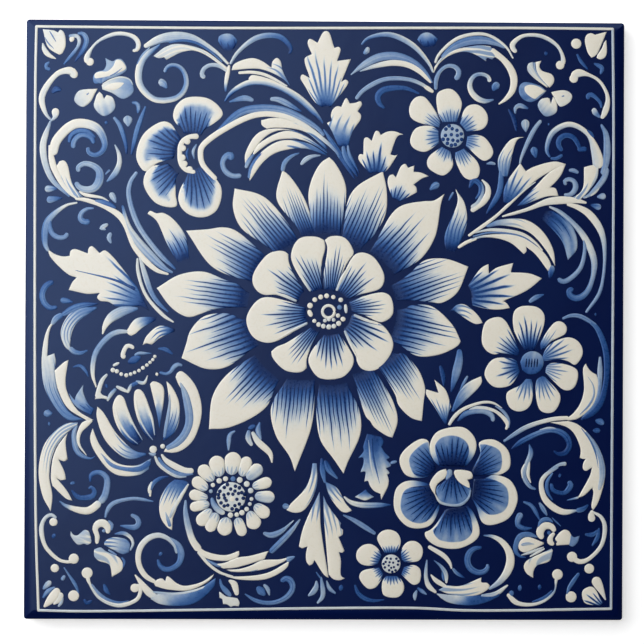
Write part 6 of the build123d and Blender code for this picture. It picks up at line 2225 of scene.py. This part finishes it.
@dataclass
class RightFlower:
    """The eight petalled flower at the right, with a round blue boss."""

    middle: Point = (52.8, -10.7)

    def build(self, finish: bpy.types.Material) -> None:
        """Builds the petals and the boss.

        Args:
            finish: Material of the slip.
        """
        mesh = SlipMesh("right_flower", Slot.CREAM)
        for side, focus, root, ink in (
            (((49.4, -8.9), (45, -8.2), (43.1, -8.5), (41.2, -7.6), (40, -5.4), (41, -0.2), (44.3, 1),
              (45.9, 0.1), (49.6, -7.4)), (51, -9.8), 0.95, 0.9),
            (((50.8, -7.4), (48.1, -2), (48.2, 2.4), (49.9, 3.7), (54.2, 3.5), (55.8, 1.8), (55.9, -0.6),
              (53.4, -7.4)), (52.3, -10.5), 0.95, 0.9),
            (((55, -7.3), (54.9, -5.8), (58.6, -0.3), (60.2, -0.1), (61.5, -1.2), (61.4, -3), (57.6, -5.2),
              (56, -6.9)), (54, -9), 0.85, 0.5),
            (((55.4, -9.2), (56, -7.6), (57.5, -5.8), (62, -4.1), (64.3, -4.9), (65.6, -6.8), (65.6, -8.8),
              (63.8, -11.1), (62, -10.2), (59.8, -9.7), (55.9, -10.2)), (54.6, -9.9), 0.6, 0.7),
            (((56.2, -13), (56.6, -11.4), (58.2, -10.6), (64.3, -12.4), (64, -16.2), (62.6, -17.5),
              (60.8, -17.4), (57.2, -14.2)), (54, -11.6), 0.3, 0.5),
            (((55.4, -14), (54, -15), (54.7, -22.4), (56.5, -23.4), (58.6, -22.9), (60.1, -19.2),
              (56.2, -14.2)), (54.5, -12.5), 0.7, 0.6),
            (((51.3, -14.7), (50, -16.2), (46.4, -18.4), (47, -21.8), (49, -23), (51.2, -22.6),
              (52.7, -20.8), (53, -16), (52.6, -14.8)), (52, -12), 0.65, 0.6),
            (((48.9, -10.2), (47.4, -9.5), (42.8, -9.8), (40.7, -13.6), (43, -16.7), (47.2, -16.4),
              (49.8, -13)), (51, -11.5), 0.85, 0.85),
        ):
            mesh.fill(
                (side,), Brush(root=root, reach=0.58, ink=ink, lines=6, length=0.88, bow=0.3), Fan(focus))
        mesh.fill(
            (((49.8, -10.5), (50.5, -8.8), (52, -7.8), (53.8, -7.8), (55.3, -8.8), (55.8, -10.6),
              (55.2, -12.3), (53.8, -13.4), (51.8, -13.5), (50.3, -12.5)),),
            Brush(root=0.42, tip=0.8, reach=1), Spine(((53.6, -7.9), (52, -13.5))), lift=0.05)
        for x in (51.4, 52.1, 52.8, 53.5, 54.2):
            mesh.stroke(((x, -9.5), (x - 0.2, -11.8)), (0.3, 0.55, 0.3), (0.9, 1, 0.95), lift=0.12)
        mesh.build(finish)


@dataclass
class Pansy:
    """The pansy at the lower right, whose cream petals hold blue fans."""

    throat: Point = (32.6, -41.5)

    def build(self, finish: bpy.types.Material) -> None:
        """Builds the petals, their fans and the lip.

        Args:
            finish: Material of the slip.
        """
        mesh = SlipMesh("pansy", Slot.CREAM)
        for side, fan in (
            (((29.5, -37.3), (27.8, -35.5), (26.8, -33), (27.2, -30.3), (29, -28.1), (35.2, -27.1),
              (37.6, -28.8), (38.7, -31.2), (38.2, -34), (36, -37.2)),
             ((29.3, -36.9), (28, -32), (29.2, -30), (31.5, -29.1), (34, -29.3), (36.2, -30.7), (37, -33),
              (35.6, -37.1))),
            (((28.3, -36.8), (27, -34), (26.4, -30.6), (24.6, -30.1), (20.2, -33.1), (19.1, -35.6),
              (20.8, -39.3), (25.5, -39.9), (28.4, -38.4)),
             ((28.2, -36.8), (27, -33.8), (26.3, -30.8), (22.5, -33.3), (21.4, -35.6), (22.8, -39.2),
              (25, -39.8), (28.3, -38.4))),
            (((27.4, -41.6), (22.5, -40.7), (20, -41.2), (18.2, -43), (18, -48.5), (21.5, -52.5),
              (26.8, -52.2), (29.3, -48), (29.4, -46.7)),
             ((27.4, -41.7), (20.5, -43), (19.3, -47.5), (20.3, -49.8), (22.3, -51.3), (24.6, -51.7),
              (26.8, -50.7), (29.3, -46.6))),
            (((31, -47.8), (28.3, -52), (26.9, -53.3), (25.7, -53.9), (25.9, -55.2), (28.8, -57.4),
              (34.5, -57.9), (39, -55.4), (39.6, -53.4), (38, -48.8), (36.5, -46.8)),
             ((31.2, -47.8), (30, -50), (28.6, -52.2), (27.6, -53.4), (29.2, -55.8), (34.3, -56.4),
              (36.7, -55.4), (37.9, -53.4), (37, -48.8), (36, -47.2))),
            (((37.4, -45), (38.8, -47.5), (40.2, -51.2), (42, -52), (47, -50.2), (49.3, -45), (47.4, -40.6),
              (43, -39.2), (41, -40), (38, -40.2)),
             ((37.5, -44.9), (41.5, -49.3), (45.4, -48.8), (46.9, -46.8), (46.5, -42.3), (42.8, -40.2),
              (38, -40.2))),
            (((37.4, -38.2), (39.7, -33.6), (39.4, -31), (43, -30.2), (46.8, -33), (47.2, -37.3),
              (44.8, -39.1), (42, -39), (38, -39.6)),
             ((37.5, -38.2), (38.9, -36), (39.7, -33.6), (39.6, -31.4), (43.4, -32), (45, -33.4),
              (45.2, -37.3), (44.2, -38.6), (38, -39.5))),
        ):
            mesh.fill((side,), Brush(root=1, reach=0.65), Fan(self.throat))
            mesh.fill(
                (fan,), Brush(root=1, tip=0.46, reach=1, rim=0.22, ink=0.97, lines=9, length=1.2),
                Fan(self.throat), lift=0.05)
        mesh.fill(
            (((28.4, -43.2), (28.9, -44.9), (30.2, -46.3), (34, -46.8), (37, -44), (37.3, -42.4), (36, -42),
              (33.4, -40), (32.6, -39), (31.6, -40), (28.7, -42.2)),),
            Brush(root=0.92, tip=0.5, reach=1, ink=0.96, lines=8, length=1.2), Fan((32.8, -37.4)),
            lift=0.06)
        mesh.fills((
            ((((30.9, -37.7), (29, -38.4), (26.8, -41.7), (28.2, -44.6)),
              ((28.6, -41.9), (30.9, -39.8), (31.3, -38.6))), Brush()),
            ((((33, -38.8), (33.2, -38.1), (37.2, -38.4), (37.8, -39.4), (37.6, -40.2)), ((36.4, -40.4),),
              ((36.9, -41.3), (37.1, -42.8)), ((34.4, -41.2), (33.4, -39.9))), Brush()),
        ), lift=0.09)
        mesh.stroke(
            ((28.1, -44), (29.6, -46.2), (34.5, -46.8), (36.6, -45.2), (37.3, -43)),
            (0.3, 0.7, 0.7, 0.8, 0.7, 0.4), (0.1, 0.3, 0.36, 0.36), lift=0.09)
        mesh.stroke(((31.7, -37.8), (31.9, -38.9), (31, -40.4)), (1.3, 1.3, 0.4), (0.38, 0.44), lift=0.1)
        mesh.build(finish)


@dataclass
class SmallFlower:
    """The six petalled flower at the bottom, with a speckled disc."""

    middle: Point = (17.1, -61.9)
    disc: float = 2.4
    speck: float = 0.4

    def build(self, finish: bpy.types.Material) -> None:
        """Builds the petals and the disc.

        Args:
            finish: Material of the slip.
        """
        mesh = SlipMesh("small_flower", Slot.CREAM)
        for side in (
            ((15.4, -59.1), (13.5, -55.3), (14.6, -53.7), (16.6, -53.2), (18.6, -54), (19.5, -55.8),
             (19.3, -57.4), (18.4, -59)),
            ((19.8, -60.8), (19.6, -59.2), (20.2, -57.3), (21.6, -56.2), (23.4, -56.2), (24.9, -57.5),
             (25.1, -59.4), (24.1, -61.1), (20.6, -61.5)),
            ((20.4, -62.7), (23, -62.2), (24.5, -63.3), (24.3, -66.6), (22.8, -67.2), (19.7, -64.6)),
            ((15.8, -65), (14.9, -66.4), (15.2, -69.8), (18.8, -70.4), (20.2, -69), (20.4, -67.4),
             (19.6, -65.8), (18.5, -65)),
            ((14, -62.8), (9.7, -63.8), (9, -65.4), (11.2, -68.2), (13, -68), (14.4, -66.3), (15.1, -64.4)),
            ((14.7, -59.7), (13.6, -57.9), (11.9, -56.9), (9.9, -57.2), (8.4, -58.7), (8.3, -60.6),
             (9.5, -62), (11.4, -62.4), (13.7, -62)),
        ):
            mesh.fill((side,), Brush(root=0.75, reach=0.36, ink=0.8, lines=6, length=0.5), Fan(self.middle))
        mesh.bead(self.middle, self.disc, 0.16)
        for place in (
            (15.7, -61.4), (17, -60.6), (18.4, -60.6), (17.6, -61.6), (16.5, -62.3), (15.5, -62.8),
            (16.6, -63.5), (18.8, -62.1), (17.8, -62.7), (18.2, -63.5), (16, -60.5), (15.2, -61.9),
            (17.4, -63.9), (18.9, -61.2), (16.7, -61.5), (17.1, -62.9),
        ):
            mesh.bead(place, self.speck, 0.95, lift=0.05)
        mesh.build(finish)


@dataclass
class LowerRight:
    """The stems, plume, spiral, hooked flower and bud in the lower right corner."""

    def plume(self) -> SlipMesh:
        """Builds the upper leaf, the plume and their stems.

        Returns:
            The gathered shapes.
        """
        mesh = SlipMesh("lower_right_scroll", Slot.CREAM)
        mesh.fills((
            ((((61.5, -24.9), (63.5, -23.3), (65.2, -20.8), (66.1, -17.5), (65.9, -11.8), (66.5, -10.8)),
              ((67.6, -12.5), (69.3, -13.6)), ((69.8, -15.5), (68.6, -21), (64.5, -24.8), (62, -25.3))),
             Brush()),
            ((((57.5, -25.8), (61.8, -27), (63.6, -28.6), (65.3, -32.7), (65.1, -34.7)),
              ((65.9, -35.1), (66.6, -35)), ((65.9, -36.4), (66, -37.8), (66.7, -38.1), (68.2, -37.2)),
              ((67.8, -39), (64.6, -45)), ((66.2, -44.4), (68.3, -42.4)),
              ((68.6, -43.6), (68.1, -47.2), (68.5, -48.2)),
              ((69.7, -46.4), (71.5, -40), (71.3, -36.8), (68.6, -30.2), (64.4, -26.2), (62, -25.4))),
             Brush()),
        ))
        mesh.strokes((
            (((67, -14), (68.4, -16.3), (68.6, -18.8), (67.4, -21.3), (65, -23.8)),
             (0.2, 0.5, 0.6, 0.6, 0.2), (0.3, 0.4, 0.5)),
            (((65.4, -27.2), (67.8, -30.4), (69.2, -34), (69.8, -37.4)), (0.2, 0.6, 0.5, 0.2),
             (0.5, 0.62, 0.4)),
            (((66.6, -28.1), (69.1, -31.7), (70.5, -35.5), (70.8, -39.5), (70, -43)),
             (0.4, 1, 1.4, 1.6, 0.8), (0.4, 0.42, 0.4, 0.25)),
        ), lift=0.06)
        mesh.strokes((
            (((67.5, 0.1), (69.4, -1.8), (71.6, -7.5), (71.8, -14.5), (70.4, -20.5), (68.4, -23.2),
              (65.4, -25.1)), (0.9, 1.3, 1.5, 1.6, 1.6, 1.4, 1.5, 1.7, 1.5, 0.6),
             (0.6, 0.68, 0.76, 0.8, 0.82, 0.82, 0.82, 0.8, 0.8, 0.88)),
            (((70.2, -9), (69.8, -19), (68.3, -22), (65.6, -24.5)), (0.6, 1.3, 1.1, 0.9, 0.8, 0.3),
             (0.4, 0.34, 0.5, 0.58, 0.56)),
            (((45.6, -30.7), (51.5, -27), (58, -25), (62.2, -24.6)), (0.6, 1.1, 1.2, 1.1, 1.1, 1),
             (0.5, 0.42, 0.25, 0.12, 0.04, 0)),
            (((69, -25.3), (70.4, -25.6), (71.1, -26.3)), (0.7, 1.7, 1), (0.76, 0.64, 0.6)),
            (((68.4, -27.8), (70.3, -27.8)), (0.5, 1.4, 0.9), (0.8, 0.72)),
            (((47.6, -32.6), (50.5, -30.5), (56.5, -27.9), (59.5, -28), (61.7, -29.5), (62.4, -31.8),
              (61.3, -33.5), (59.7, -33.8), (58.4, -33)),
             (0.4, 1.3, 1.4, 1.3, 1.3, 1.4, 1.6, 1.4, 1.3, 0.5),
             (0.92, 0.78, 0.68, 0.58, 0.56, 0.66, 0.76, 0.82, 0.86, 0.88)),
            (((54.8, -27.7), (57.3, -27.2), (59.7, -27.5)), (0.2, 0.6, 0.2), (0.2,)),
            (((52.2, -31.4), (52.6, -33.5), (50.8, -39), (52.5, -42.2), (53.9, -42.8)),
             (0.3, 1.2, 1.3, 1.1, 1.2, 1.2, 1, 0.5), (0.66, 0.5, 0.36, 0.3, 0.36, 0.4, 0.46, 0.56)),
            (((52.2, -35.4), (51.9, -39.2), (52.6, -41.2)), (0.4, 0.9, 0.8, 0.3), (0.1, 0.03)),
            (((51, -36.4), (50.4, -38), (50.5, -40)), (0.3, 0.6, 0.3), (0.06,)),
            (((64.8, -44.9), (61.8, -45.6)), (0.6, 0.5, 0.2), (0.2, 0.5, 0.62)),
        ))
        return mesh

    def curls(self) -> SlipMesh:
        """Builds the rings, curls and thin strokes.

        Returns:
            The gathered shapes.
        """
        mesh = SlipMesh("lower_right_curls", Slot.COBALT)
        mesh.strokes((
            (((59.6, -37.2), (56.4, -39.2), (55.3, -41.1), (56.3, -45.4), (60.6, -48.5), (64.6, -48.2)),
             (0.4, 0.8, 1.1, 1.2, 1.4, 1.6, 1.7, 1.6, 1.2, 0.4),
             (0.45, 0.3, 0.12, 0.04, 0, 0, 0, 0, 0.1, 0.45)),
            (((58.2, -38.6), (56.8, -41), (56.8, -43.3), (58.2, -45.6)), (0.4, 0.9, 0.9, 0.3),
             (0.5, 0.6, 0.66)),
            (((56.8, -38.4), (60, -36.5), (61.7, -36.3)), (0.3, 0.7, 0.8, 1.2), (0.3, 0.4, 0.34, 0.25)),
            (((64.2, -48.3), (66, -47.8), (67.3, -46.7)), (1.1, 1.3, 0.4), (0.5, 0.7, 0.8)),
            (((57.8, -41.3), (58.3, -43), (61.2, -43.7), (62.8, -41.6), (62.1, -40.8)),
             (0.7, 1.1, 1.1, 1.1, 1.3, 1.5, 1.1), (0.72, 0.8, 0.82, 0.76, 0.7, 0.62)),
            (((59.7, -39.2), (60.3, -39.4)), (1.5, 1.5), (0.74,)),
            (((40.6, -54.6), (43, -54.9), (45.3, -56.2), (47, -58.5), (47.5, -61), (46.7, -63.8),
              (44.7, -66.4), (42, -68.3)), (0.3, 1, 1.5, 1.9, 2.2, 1.9, 1.4, 0.6),
             (0.62, 0.12, 0, 0, 0, 0.1, 0.28, 0.36)),
            (((40.2, -57.7), (38.5, -57.9), (37, -59.1), (36.5, -61), (37.2, -62.9), (39, -64),
              (40.8, -63.8), (41.7, -62.7), (41.5, -61.9)), (0.7, 1.2, 1.5, 1.6, 1.6, 1.6, 1.4, 1.3, 0.7),
             (0.8, 0.7, 0.66, 0.66, 0.66, 0.68, 0.62, 0.56)),
            (((50.3, -48.9), (49.4, -50.4), (49.4, -52), (51, -52.8), (53, -52.7)),
             (1.7, 1.5, 1.3, 1.1, 0.3), (0.46, 0.56, 0.7, 0.76)),
            (((50.7, -46), (52.8, -47), (55, -50.8)), (0.5, 1, 1, 0.3), (0.58, 0.62, 0.76)),
            (((54.8, -46.2), (56.8, -49.5)), (0.5, 1.2, 0.4), (0.46, 0.52)),
            (((58, -50), (60.3, -52.2)), (0.2, 0.4, 0.2), (0.6,)),
            (((66.4, -54.3), (68.5, -54.3), (69.8, -53.2)), (0.5, 1.2, 0.6), (0.76, 0.7)),
            (((70.1, -52.6), (69.7, -55), (68.3, -57.2)), (0.5, 1.1, 0.4), (0.76, 0.64)),
            (((65, -64.1), (62.4, -68.1), (62, -69.6)), (0.7, 1.1, 1, 0.4), (0.66, 0.58, 0.56)),
            (((47.7, -68.6), (47.9, -70)), (0.8, 1.4, 0.6), (0.6,)),
            (((49.4, -67.9), (50.4, -68)), (2.3, 2.3), (0.64,)),
            (((54.5, -67.7), (55.4, -67.8)), (2, 2), (0.82,)),
            (((58.2, -68.6), (56.2, -70.4), (53, -71.5)), (0.5, 0.9, 0.3), (0.72,)),
            (((29.4, -11.4), (30.1, -14), (30.3, -16.6)), (0.7, 1.3, 0.4), (0.84,)),
            (((7.9, -67.2), (8.7, -69.3), (10.4, -70.7), (12.8, -71.3), (15.4, -71)),
             (0.5, 1.1, 1.1, 0.8, 0.3), (0.8, 0.76, 0.82)),
            (((3.8, -67.9), (4.9, -68.1)), (1.8, 1.8), (0.76,)),
            (((23.7, -68.6), (23.2, -69.9), (23.2, -71.2)), (0.4, 1.1, 0.4), (0.5, 0.34, 0.36)),
            (((23.8, -68), (26.2, -69.7)), (0.6, 1, 0.3), (0.74, 0.5, 0.5)),
            (((15, 54), (13.6, 55.3), (13.2, 57), (14.5, 58.6), (20, 59.2), (23.8, 57.8)),
             (0.6, 1.4, 1.6, 1.5, 1.2, 0.9, 0.4), (0.74,)),
            (((55.6, 68.3), (56.5, 68.3)), (1.4, 1.3), (0.85,)),
        ))
        return mesh

    def corner(self) -> SlipMesh:
        """Builds the boat leaf, the hooked flower, the beaded scrolls and the bud.

        Returns:
            The gathered shapes.
        """
        mesh = SlipMesh("lower_right_sprig", Slot.CREAM)
        mesh.fills((
            ((((28.6, -69.4), (36, -70), (39, -69.8), (42, -69.9), (44.8, -69)),
              ((44.8, -69.8), (39, -72.3), (32, -71.8), (29.8, -70.6))), Brush(root=0.2, tip=0.8, reach=1),
             Spine(((34, -69.6), (37, -72.5)))),
            ((((31.2, -67.3), (34.5, -67.5), (40.1, -65.3)), ((40.1, -66.5), (41.6, -66.7), (42.3, -67.4)),
              ((41.8, -68.3), (38.6, -69.9), (32, -69.6), (29.2, -68.5))),
             Brush(ink=0.35, lines=3, length=1), Spine(((29.4, -68.6), (35, -68.8), (41.6, -67.4)))),
            ((((58.9, -55.3), (59.8, -54), (61.2, -53.1), (62.3, -53.4), (63, -54.4)), ((62.6, -56.9),),
              ((59.2, -57.1),)), Brush()),
            ((((62.8, -54.2), (63.7, -55), (65.1, -54.6)), ((64.6, -56.3), (63.3, -57.4), (62.4, -57))),
             Brush(root=0.5, tip=0.42)),
            ((((56, -56.4), (51.8, -55), (50.2, -55.7), (49.5, -57), (49.8, -58.3), (51.2, -58.9),
               (56, -56.8)),), Brush()),
            ((((58, -57.9), (51.5, -61.2), (50.9, -62.6), (51.6, -64.2), (53.3, -65.4)),
              ((53.4, -63.7), (54.2, -62.3), (57.5, -61), (58.3, -58.4))),
             Brush(ink=0.3, lines=2, length=1.2), Spine(((57.6, -59), (54, -60.8), (52.8, -64.8)))),
            ((((70.4, -72.4), (66.5, -71.7), (65.9, -68.7), (68.3, -67.6), (71.2, -71.6)),),
             Brush(root=0.6, reach=0.4, ink=0.85, lines=4, length=1), Fan((71.6, -73))),
        ))
        mesh.strokes((
            (((40, -70), (43.5, -69.6), (46.9, -67.2)), (0.6, 1.3, 1.1, 0.4), (0.36, 0.3, 0.15, 0.1)),
            (((26.2, -60.8), (26, -65.5), (26.7, -67.5), (28.6, -69.2)), (0.3, 0.8, 1, 1.3, 0.6),
             (0.45, 0.3, 0.1, 0.03)),
            (((26.5, -57.4), (30.7, -60), (32.1, -61.8), (32.5, -63.1)), (0.9, 1.1, 1.2, 1, 0.4), (0.04,)),
            (((28, -61), (29.8, -62.5), (31, -64.5), (31.2, -66.8)), (0.2, 0.8, 1.2, 0.5),
             (0.6, 0.35, 0.08)),
            (((30.2, -63.8), (30.5, -66.2)), (0.4, 0.8, 0.3), (0.62,)),
            (((32.8, -63), (33.8, -64.2), (36, -65.5)), (0.7, 0.9, 0.2), (0.46, 0.6, 0.9)),
            (((27.2, -64.6), (28.4, -66), (31.6, -68)), (0.3, 1.1, 1.1, 0.5), (0.03,)),
            (((55.6, -55.5), (55, -53.7), (56.1, -52.2), (57.9, -52.3), (58.8, -53.6)),
             (1.1, 2, 1.9, 1.6, 1.1), (0,)),
            (((58.7, -53.9), (57.8, -54.9), (57.6, -56.2), (58.6, -56.9)), (0.8, 1.2, 1.5, 0.8), (0,)),
            (((57.4, -53.4), (57.2, -54.4)), (0.7, 0.9, 0.5), (0.66,)),
            (((54.5, -52.4), (55.5, -50.8), (57, -50.5), (58.3, -51.2)), (0.4, 1.1, 1.2, 0.4),
             (0.66, 0.6, 0.62)),
            (((54.4, -55), (52, -54.3), (49.8, -54.9), (48.8, -58.5), (50, -59.9), (51.4, -60.2)),
             (0.3, 1.2, 1.4, 1.4, 1.3, 0.8, 0.3), (0.5, 0.58, 0.56, 0.58, 0.66, 0.72)),
            (((50.2, -59.6), (52.3, -59), (56, -57.5)), (0.2, 0.7, 0.7, 0.2), (0.2, 0.12)),
            (((52.4, -60), (56.2, -57.9)), (0.3, 0.7, 0.4), (0.12,)),
            (((68.4, -48.5), (70.5, -49.8), (71.5, -52), (70.7, -57), (67, -60.8), (65, -61.2),
              (63.6, -60.4)), (0.5, 0.9, 1.1, 1.1, 1, 1, 1, 1.2, 1.4), (0.08, 0.12, 0.1, 0.04, 0)),
            (((68.3, -48.1), (68.1, -49.8), (68.5, -51)), (0.5, 1.7, 1.9), (0.03,)),
            (((59.2, -65.6), (58.6, -69), (54.5, -71.9), (49.3, -71.8), (46.7, -69.5)),
             (0.9, 0.4, 0.7, 0.8, 0.8, 0.9, 1.1, 1.3, 0.8), (0, 0.4, 0.2, 0.1, 0.08, 0.05, 0)),
            (((68.9, -65.2), (70.9, -69), (71.8, -71)), (2.5, 2.3, 1.3, 0.3), (0, 0, 0.1)),
        ))
        mesh.stroke(((50.2, -57), (51.8, -56.7), (53.6, -56.8)), (0.7, 0.9, 0.2), (0.36, 0.3), lift=0.06)
        mesh.bead((59, -56.2), 0.35, 0.97, lift=0.08)
        for middle, radius in (
            ((63.2, -60), 1.3), ((67.6, -63), 1.25), ((63, -70.2), 1.4), ((59.5, -64.5), 1.35),
        ):
            mesh.bead(middle, radius)
        return mesh

    def build(self, finish: bpy.types.Material) -> None:
        """Builds the corner."""
        for mesh in (self.plume(), self.curls(), self.corner()):
            mesh.build(finish)


# Studio


@dataclass
class Studio:
    """Floor, lights and camera, in metres, degrees and watts.

    Attributes:
        floor_size: Side of the floor.
        floor_level: Its height, a hair below the tile's back.
        floor_tone: Its grey.
        floor_roughness: Its roughness.
        floor_glow: Light that it adds where it is seen straight or mirrored.
        lens: Focal length of the camera, in millimetres.
        sensor: Width of its picture, in millimetres.
        horizon: Light of the sky near the horizon.
        zenith: Light of the sky overhead.
        sky_low: Height where the horizon's light ends, as the sine of its angle.
        sky_high: Height where the zenith's light starts.
        eye: Place of the camera.
        turn: Its angles.
    """

    floor_size: float = 6.0
    floor_level: float = -0.00005
    floor_tone: float = 0.9
    floor_roughness: float = 0.9
    floor_glow: float = 0.6
    lens: float = 150.0
    sensor: float = 36.0
    horizon: float = 0.11
    zenith: float = 0.0
    sky_low: float = 0.45
    sky_high: float = 0.85
    eye: tuple[float, float, float] = (-0.0142, -0.0042, 0.6889)
    turn: tuple[float, float, float] = (0.31, -1.13, 0.24)

    def build(self) -> None:
        """Sets the whole stage."""
        self.floor()
        self.world()
        self.lights()
        self.camera()
        bpy.context.scene.view_settings.view_transform = "Standard"

    def floor(self) -> None:
        """Lays a white floor that keeps the tile's shadow."""
        half = self.floor_size / 2
        level = self.floor_level
        mesh = bpy.data.meshes.new("floor")
        corners = [(-half, -half, level), (half, -half, level), (half, half, level), (-half, half, level)]
        mesh.from_pydata(corners, [], [(0, 1, 2, 3)])
        sheet = NodeSheet("white_floor")
        tone = self.floor_tone
        sheet.shader.inputs["Base Color"].default_value = (tone, tone, tone, 1.0)
        sheet.shader.inputs["Roughness"].default_value = self.floor_roughness
        path = sheet.node("ShaderNodeLightPath")
        seen = sheet.math("MAXIMUM", path.outputs["Is Camera Ray"], path.outputs["Is Glossy Ray"])
        seen = sheet.math("MAXIMUM", seen, path.outputs["Is Transmission Ray"])
        sheet.shader.inputs["Emission Color"].default_value = (1.0, 1.0, 1.0, 1.0)
        glow = sheet.math("MULTIPLY", seen, self.floor_glow)
        sheet.link(glow, sheet.shader.inputs["Emission Strength"])
        mesh.materials.append(sheet.material)
        floor = bpy.data.objects.new("floor", mesh)
        bpy.context.scene.collection.objects.link(floor)

    def world(self) -> None:
        """Fills the shadows from a pale horizon under a dark top, white where the camera sees it."""
        world = bpy.data.worlds.new("studio")
        world.use_nodes = True
        bpy.context.scene.world = world
        tree = world.node_tree
        tree.nodes["Background"].inputs["Color"].default_value = (1.0, 1.0, 1.0, 1.0)
        path = tree.nodes.new("ShaderNodeLightPath")
        split = tree.nodes.new("ShaderNodeSeparateXYZ")
        tree.links.new(tree.nodes.new("ShaderNodeTexCoord").outputs["Generated"], split.inputs[0])
        sky = tree.nodes.new("ShaderNodeMapRange")
        for name, value in (
            ("From Min", self.sky_low), ("From Max", self.sky_high),
            ("To Min", self.horizon), ("To Max", self.zenith),
        ):
            sky.inputs[name].default_value = value
        tree.links.new(split.outputs["Z"], sky.inputs["Value"])
        level = tree.nodes.new("ShaderNodeMath")
        level.operation = "MAXIMUM"
        tree.links.new(path.outputs["Is Camera Ray"], level.inputs[0])
        tree.links.new(sky.outputs["Result"], level.inputs[1])
        tree.links.new(level.outputs[0], tree.nodes["Background"].inputs["Strength"])

    def lights(self) -> None:
        """Hangs a large soft box to the upper left and a small one beyond the top edge."""
        self.soft_box(
            "top", place=(0.0, 0.40, 0.36), aim=(0.0, 0.075, 0.0), size=(0.34, 0.16), power=0.42)
        self.soft_box(
            "key", place=(-0.345, 0.195, 0.315), aim=(-0.037, 0.022, 0.0), size=(0.45, 1.08), power=4.75)

    def soft_box(self, name: str, place: tuple[float, float, float], aim: tuple[float, float, float],
                 size: tuple[float, float], power: float) -> None:
        """Adds a rectangular white light.

        Args:
            name: Name of the light.
            place: Its middle.
            aim: Point that it faces.
            size: Its two sides.
            power: Its power in watts.
        """
        lamp = bpy.data.lights.new(name, "AREA")
        lamp.shape = "RECTANGLE"
        lamp.size, lamp.size_y = size
        lamp.energy = power
        light = bpy.data.objects.new(name, lamp)
        light.location = place
        light.rotation_euler = (Vector(aim) - Vector(place)).to_track_quat("-Z", "Y").to_euler()
        bpy.context.scene.collection.objects.link(light)

    def camera(self) -> None:
        """Looks straight down on the tile, with the picture's top upwards."""
        lens = bpy.data.cameras.new("camera")
        lens.lens = self.lens
        lens.sensor_width = self.sensor
        camera = bpy.data.objects.new("camera", lens)
        camera.location = self.eye
        camera.rotation_euler = [math.radians(angle) for angle in self.turn]
        bpy.context.scene.collection.objects.link(camera)
        bpy.context.scene.camera = camera


def main() -> None:
    """Dresses the tile, lays its decoration and sets the studio."""
    logging.basicConfig(level=logging.INFO)
    TILE.data.materials.clear()
    TILE.data.materials.append(NavyFinish().build())
    slip = SlipFinish().build()
    Dahlia().build(slip)
    Border().build(slip)
    Poppy().build(slip)
    StarFlower().build(slip)
    TopSprays().build(slip)
    UpperCorners().build(slip)
    LeftBranch().build(slip)
    RightBranch().build(slip)
    LotusPod().build(slip)
    LowerLeft().build(slip)
    Daisy().build(slip)
    LowerMiddle().build(slip)
    RightFlower().build(slip)
    Pansy().build(slip)
    SmallFlower().build(slip)
    LowerRight().build(slip)
    Studio().build()


if __name__ == "__main__":
    main()
